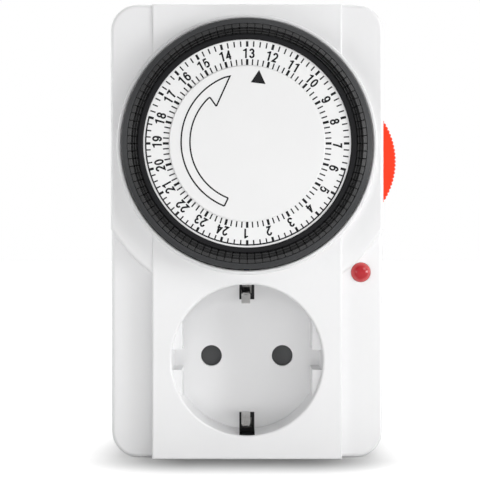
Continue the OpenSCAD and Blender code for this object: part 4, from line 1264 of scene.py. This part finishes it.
def lamp(name, place, size, watts, mirrored=True, aim=(0, 0, CASE_H / 2 * MM)):
    """A soft area lamp in metres, hidden from the camera and, if asked, from reflections."""
    data = bpy.data.lights.new(name, "AREA")
    data.shape = "RECTANGLE"
    data.size, data.size_y = size
    data.energy = watts
    obj = in_scene(name, data)
    obj.location = place
    obj.rotation_euler = (Vector(aim) - Vector(place)).to_track_quat("-Z", "Y").to_euler()
    obj.visible_camera = False
    obj.visible_glossy = mirrored


def seen_directly(tree):
    """1 for rays from the camera, off glossy surfaces and through glass, else 0."""
    path = tree.nodes.new("ShaderNodeLightPath")
    value = path.outputs["Is Camera Ray"]
    for title in ("Is Glossy Ray", "Is Transmission Ray"):
        either = maths(tree, "MAXIMUM")
        tree.links.new(value, either.inputs[0])
        tree.links.new(path.outputs[title], either.inputs[1])
        value = either.outputs[0]
    return value


def away_from_case(tree):
    """Mask of the painted shadow: 0 where the object stands, rising to 1 a little way off, so the
    floor stays dark round it.
    """
    where = tree.nodes.new("ShaderNodeTexCoord")
    size = (SHADOW_HALF[0] * MM, SHADOW_HALF[1] * MM, 0)
    value = where.outputs["Object"]
    steps = [("ABSOLUTE", None), ("SUBTRACT", size), ("MAXIMUM", (0, 0, 0)), ("LENGTH", None)]
    for operation, other in steps:
        step = maths(tree, operation, "VectorMath")
        tree.links.new(value, step.inputs[0])
        if other is not None:
            step.inputs[1].default_value = other
        value = step.outputs["Value" if operation == "LENGTH" else "Vector"]
    fade = tree.nodes.new("ShaderNodeMapRange")
    fade.interpolation_type = "SMOOTHSTEP"
    fade.inputs["From Max"].default_value = SHADOW_REACH * MM
    tree.links.new(value, fade.inputs["Value"])
    return fade.outputs["Result"]


def floor():
    """A grey floor, lifted to white for the eye except round the object, where the lift fades out
    into a painted shadow over the lamps' own shadow.
    """
    bm = bmesh.new()
    bmesh.ops.create_grid(bm, x_segments=1, y_segments=1, size=FLOOR_HALF)
    obj = object_of("floor", bm)
    material = bpy.data.materials.new("floor_painted_shadow")
    material.use_nodes = True
    tree = material.node_tree
    principled = tree.nodes["Principled BSDF"]
    principled.inputs["Base Color"].default_value = (FLOOR_GREY, FLOOR_GREY, FLOOR_GREY, 1)
    principled.inputs["Roughness"].default_value = 0.8
    principled.inputs["Specular IOR Level"].default_value = 0.1
    glow, both = tree.nodes.new("ShaderNodeEmission"), tree.nodes.new("ShaderNodeAddShader")
    lift, fade = maths(tree, "MULTIPLY"), maths(tree, "MULTIPLY")
    lift.inputs[1].default_value = FLOOR_LIFT
    tree.links.new(seen_directly(tree), lift.inputs[0])
    # The lift fades out round the case, which paints the case's shadow on the floor.
    tree.links.new(away_from_case(tree), fade.inputs[1])
    wire(tree, (lift, 0, fade, 0), (fade, 0, glow, "Strength"), (principled, 0, both, 0),
         (glow, 0, both, 1), (both, 0, tree.nodes["Material Output"], "Surface"))
    obj.data.materials.append(material)
    obj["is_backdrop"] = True


def world():
    """White to look at, and a faint even light."""
    scene_world = bpy.data.worlds.new("studio")
    scene_world.use_nodes = True
    bpy.context.scene.world = scene_world
    tree = scene_world.node_tree
    back = tree.nodes["Background"]
    strength = ranged(tree, seen_directly(tree), 0, 1, WORLD_LIGHT, 1)
    tree.links.new(strength, back.inputs["Strength"])
    back.inputs["Color"].default_value = (1, 1, 1, 1)


def lights():
    """A broad key from the right, with soft lamps round the object."""
    lamp("key", (0.92, -0.45, 0.05), (0.45, 0.45), 7.6)
    lamp("key_high", (0.7, -0.6, 0.7), (0.45, 0.45), 2.5)
    lamp("fill", (-0.65, -0.5, 0.05), (0.35, 0.35), 1.5)
    lamp("front", (0.1, -0.5, 0.01), (0.6, 0.1), 1.3, False)
    lamp("table", (0, -0.25, 0.002), (0.7, 0.3), 0.5, False, (0, -0.25, 1))
    lamp("foot", (0, -0.09, 0.004), (0.25, 0.006), 0.022, False, (0, 0, 0.03))
    lamp("top", (0.05, 0.35, 0.95), (0.7, 0.7), 5.5)
    lamp("side_left", (-0.9, 0.25, 0.3), (0.5, 0.5), 3.5)
    lamp("side_right", (0.9, 0.25, 0.3), (0.5, 0.5), 0.5)
    lamp("back", (0.25, 0.95, 0.3), (0.5, 0.5), 3.0)


def main():
    """The stage, then every piece from the case inwards."""
    for step in (camera, world, lights, floor, case_front, case_back, wheel_skirt, wheel,
                 tappet_rows, scale_plate, fixed_disc, print_scale, print_disc, knob, lens,
                 plug_pins, earth, paint_kept_nodes):
        step()
    bpy.context.scene.view_settings.view_transform = "Standard"


main()

bpy.context.view_layer.update()
visual_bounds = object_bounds()
boxes = {"cad": cad_bounds, "visual": visual_bounds}
{k: [list(map(float, corner_)) for corner_ in v] for k, v in boxes.items()}
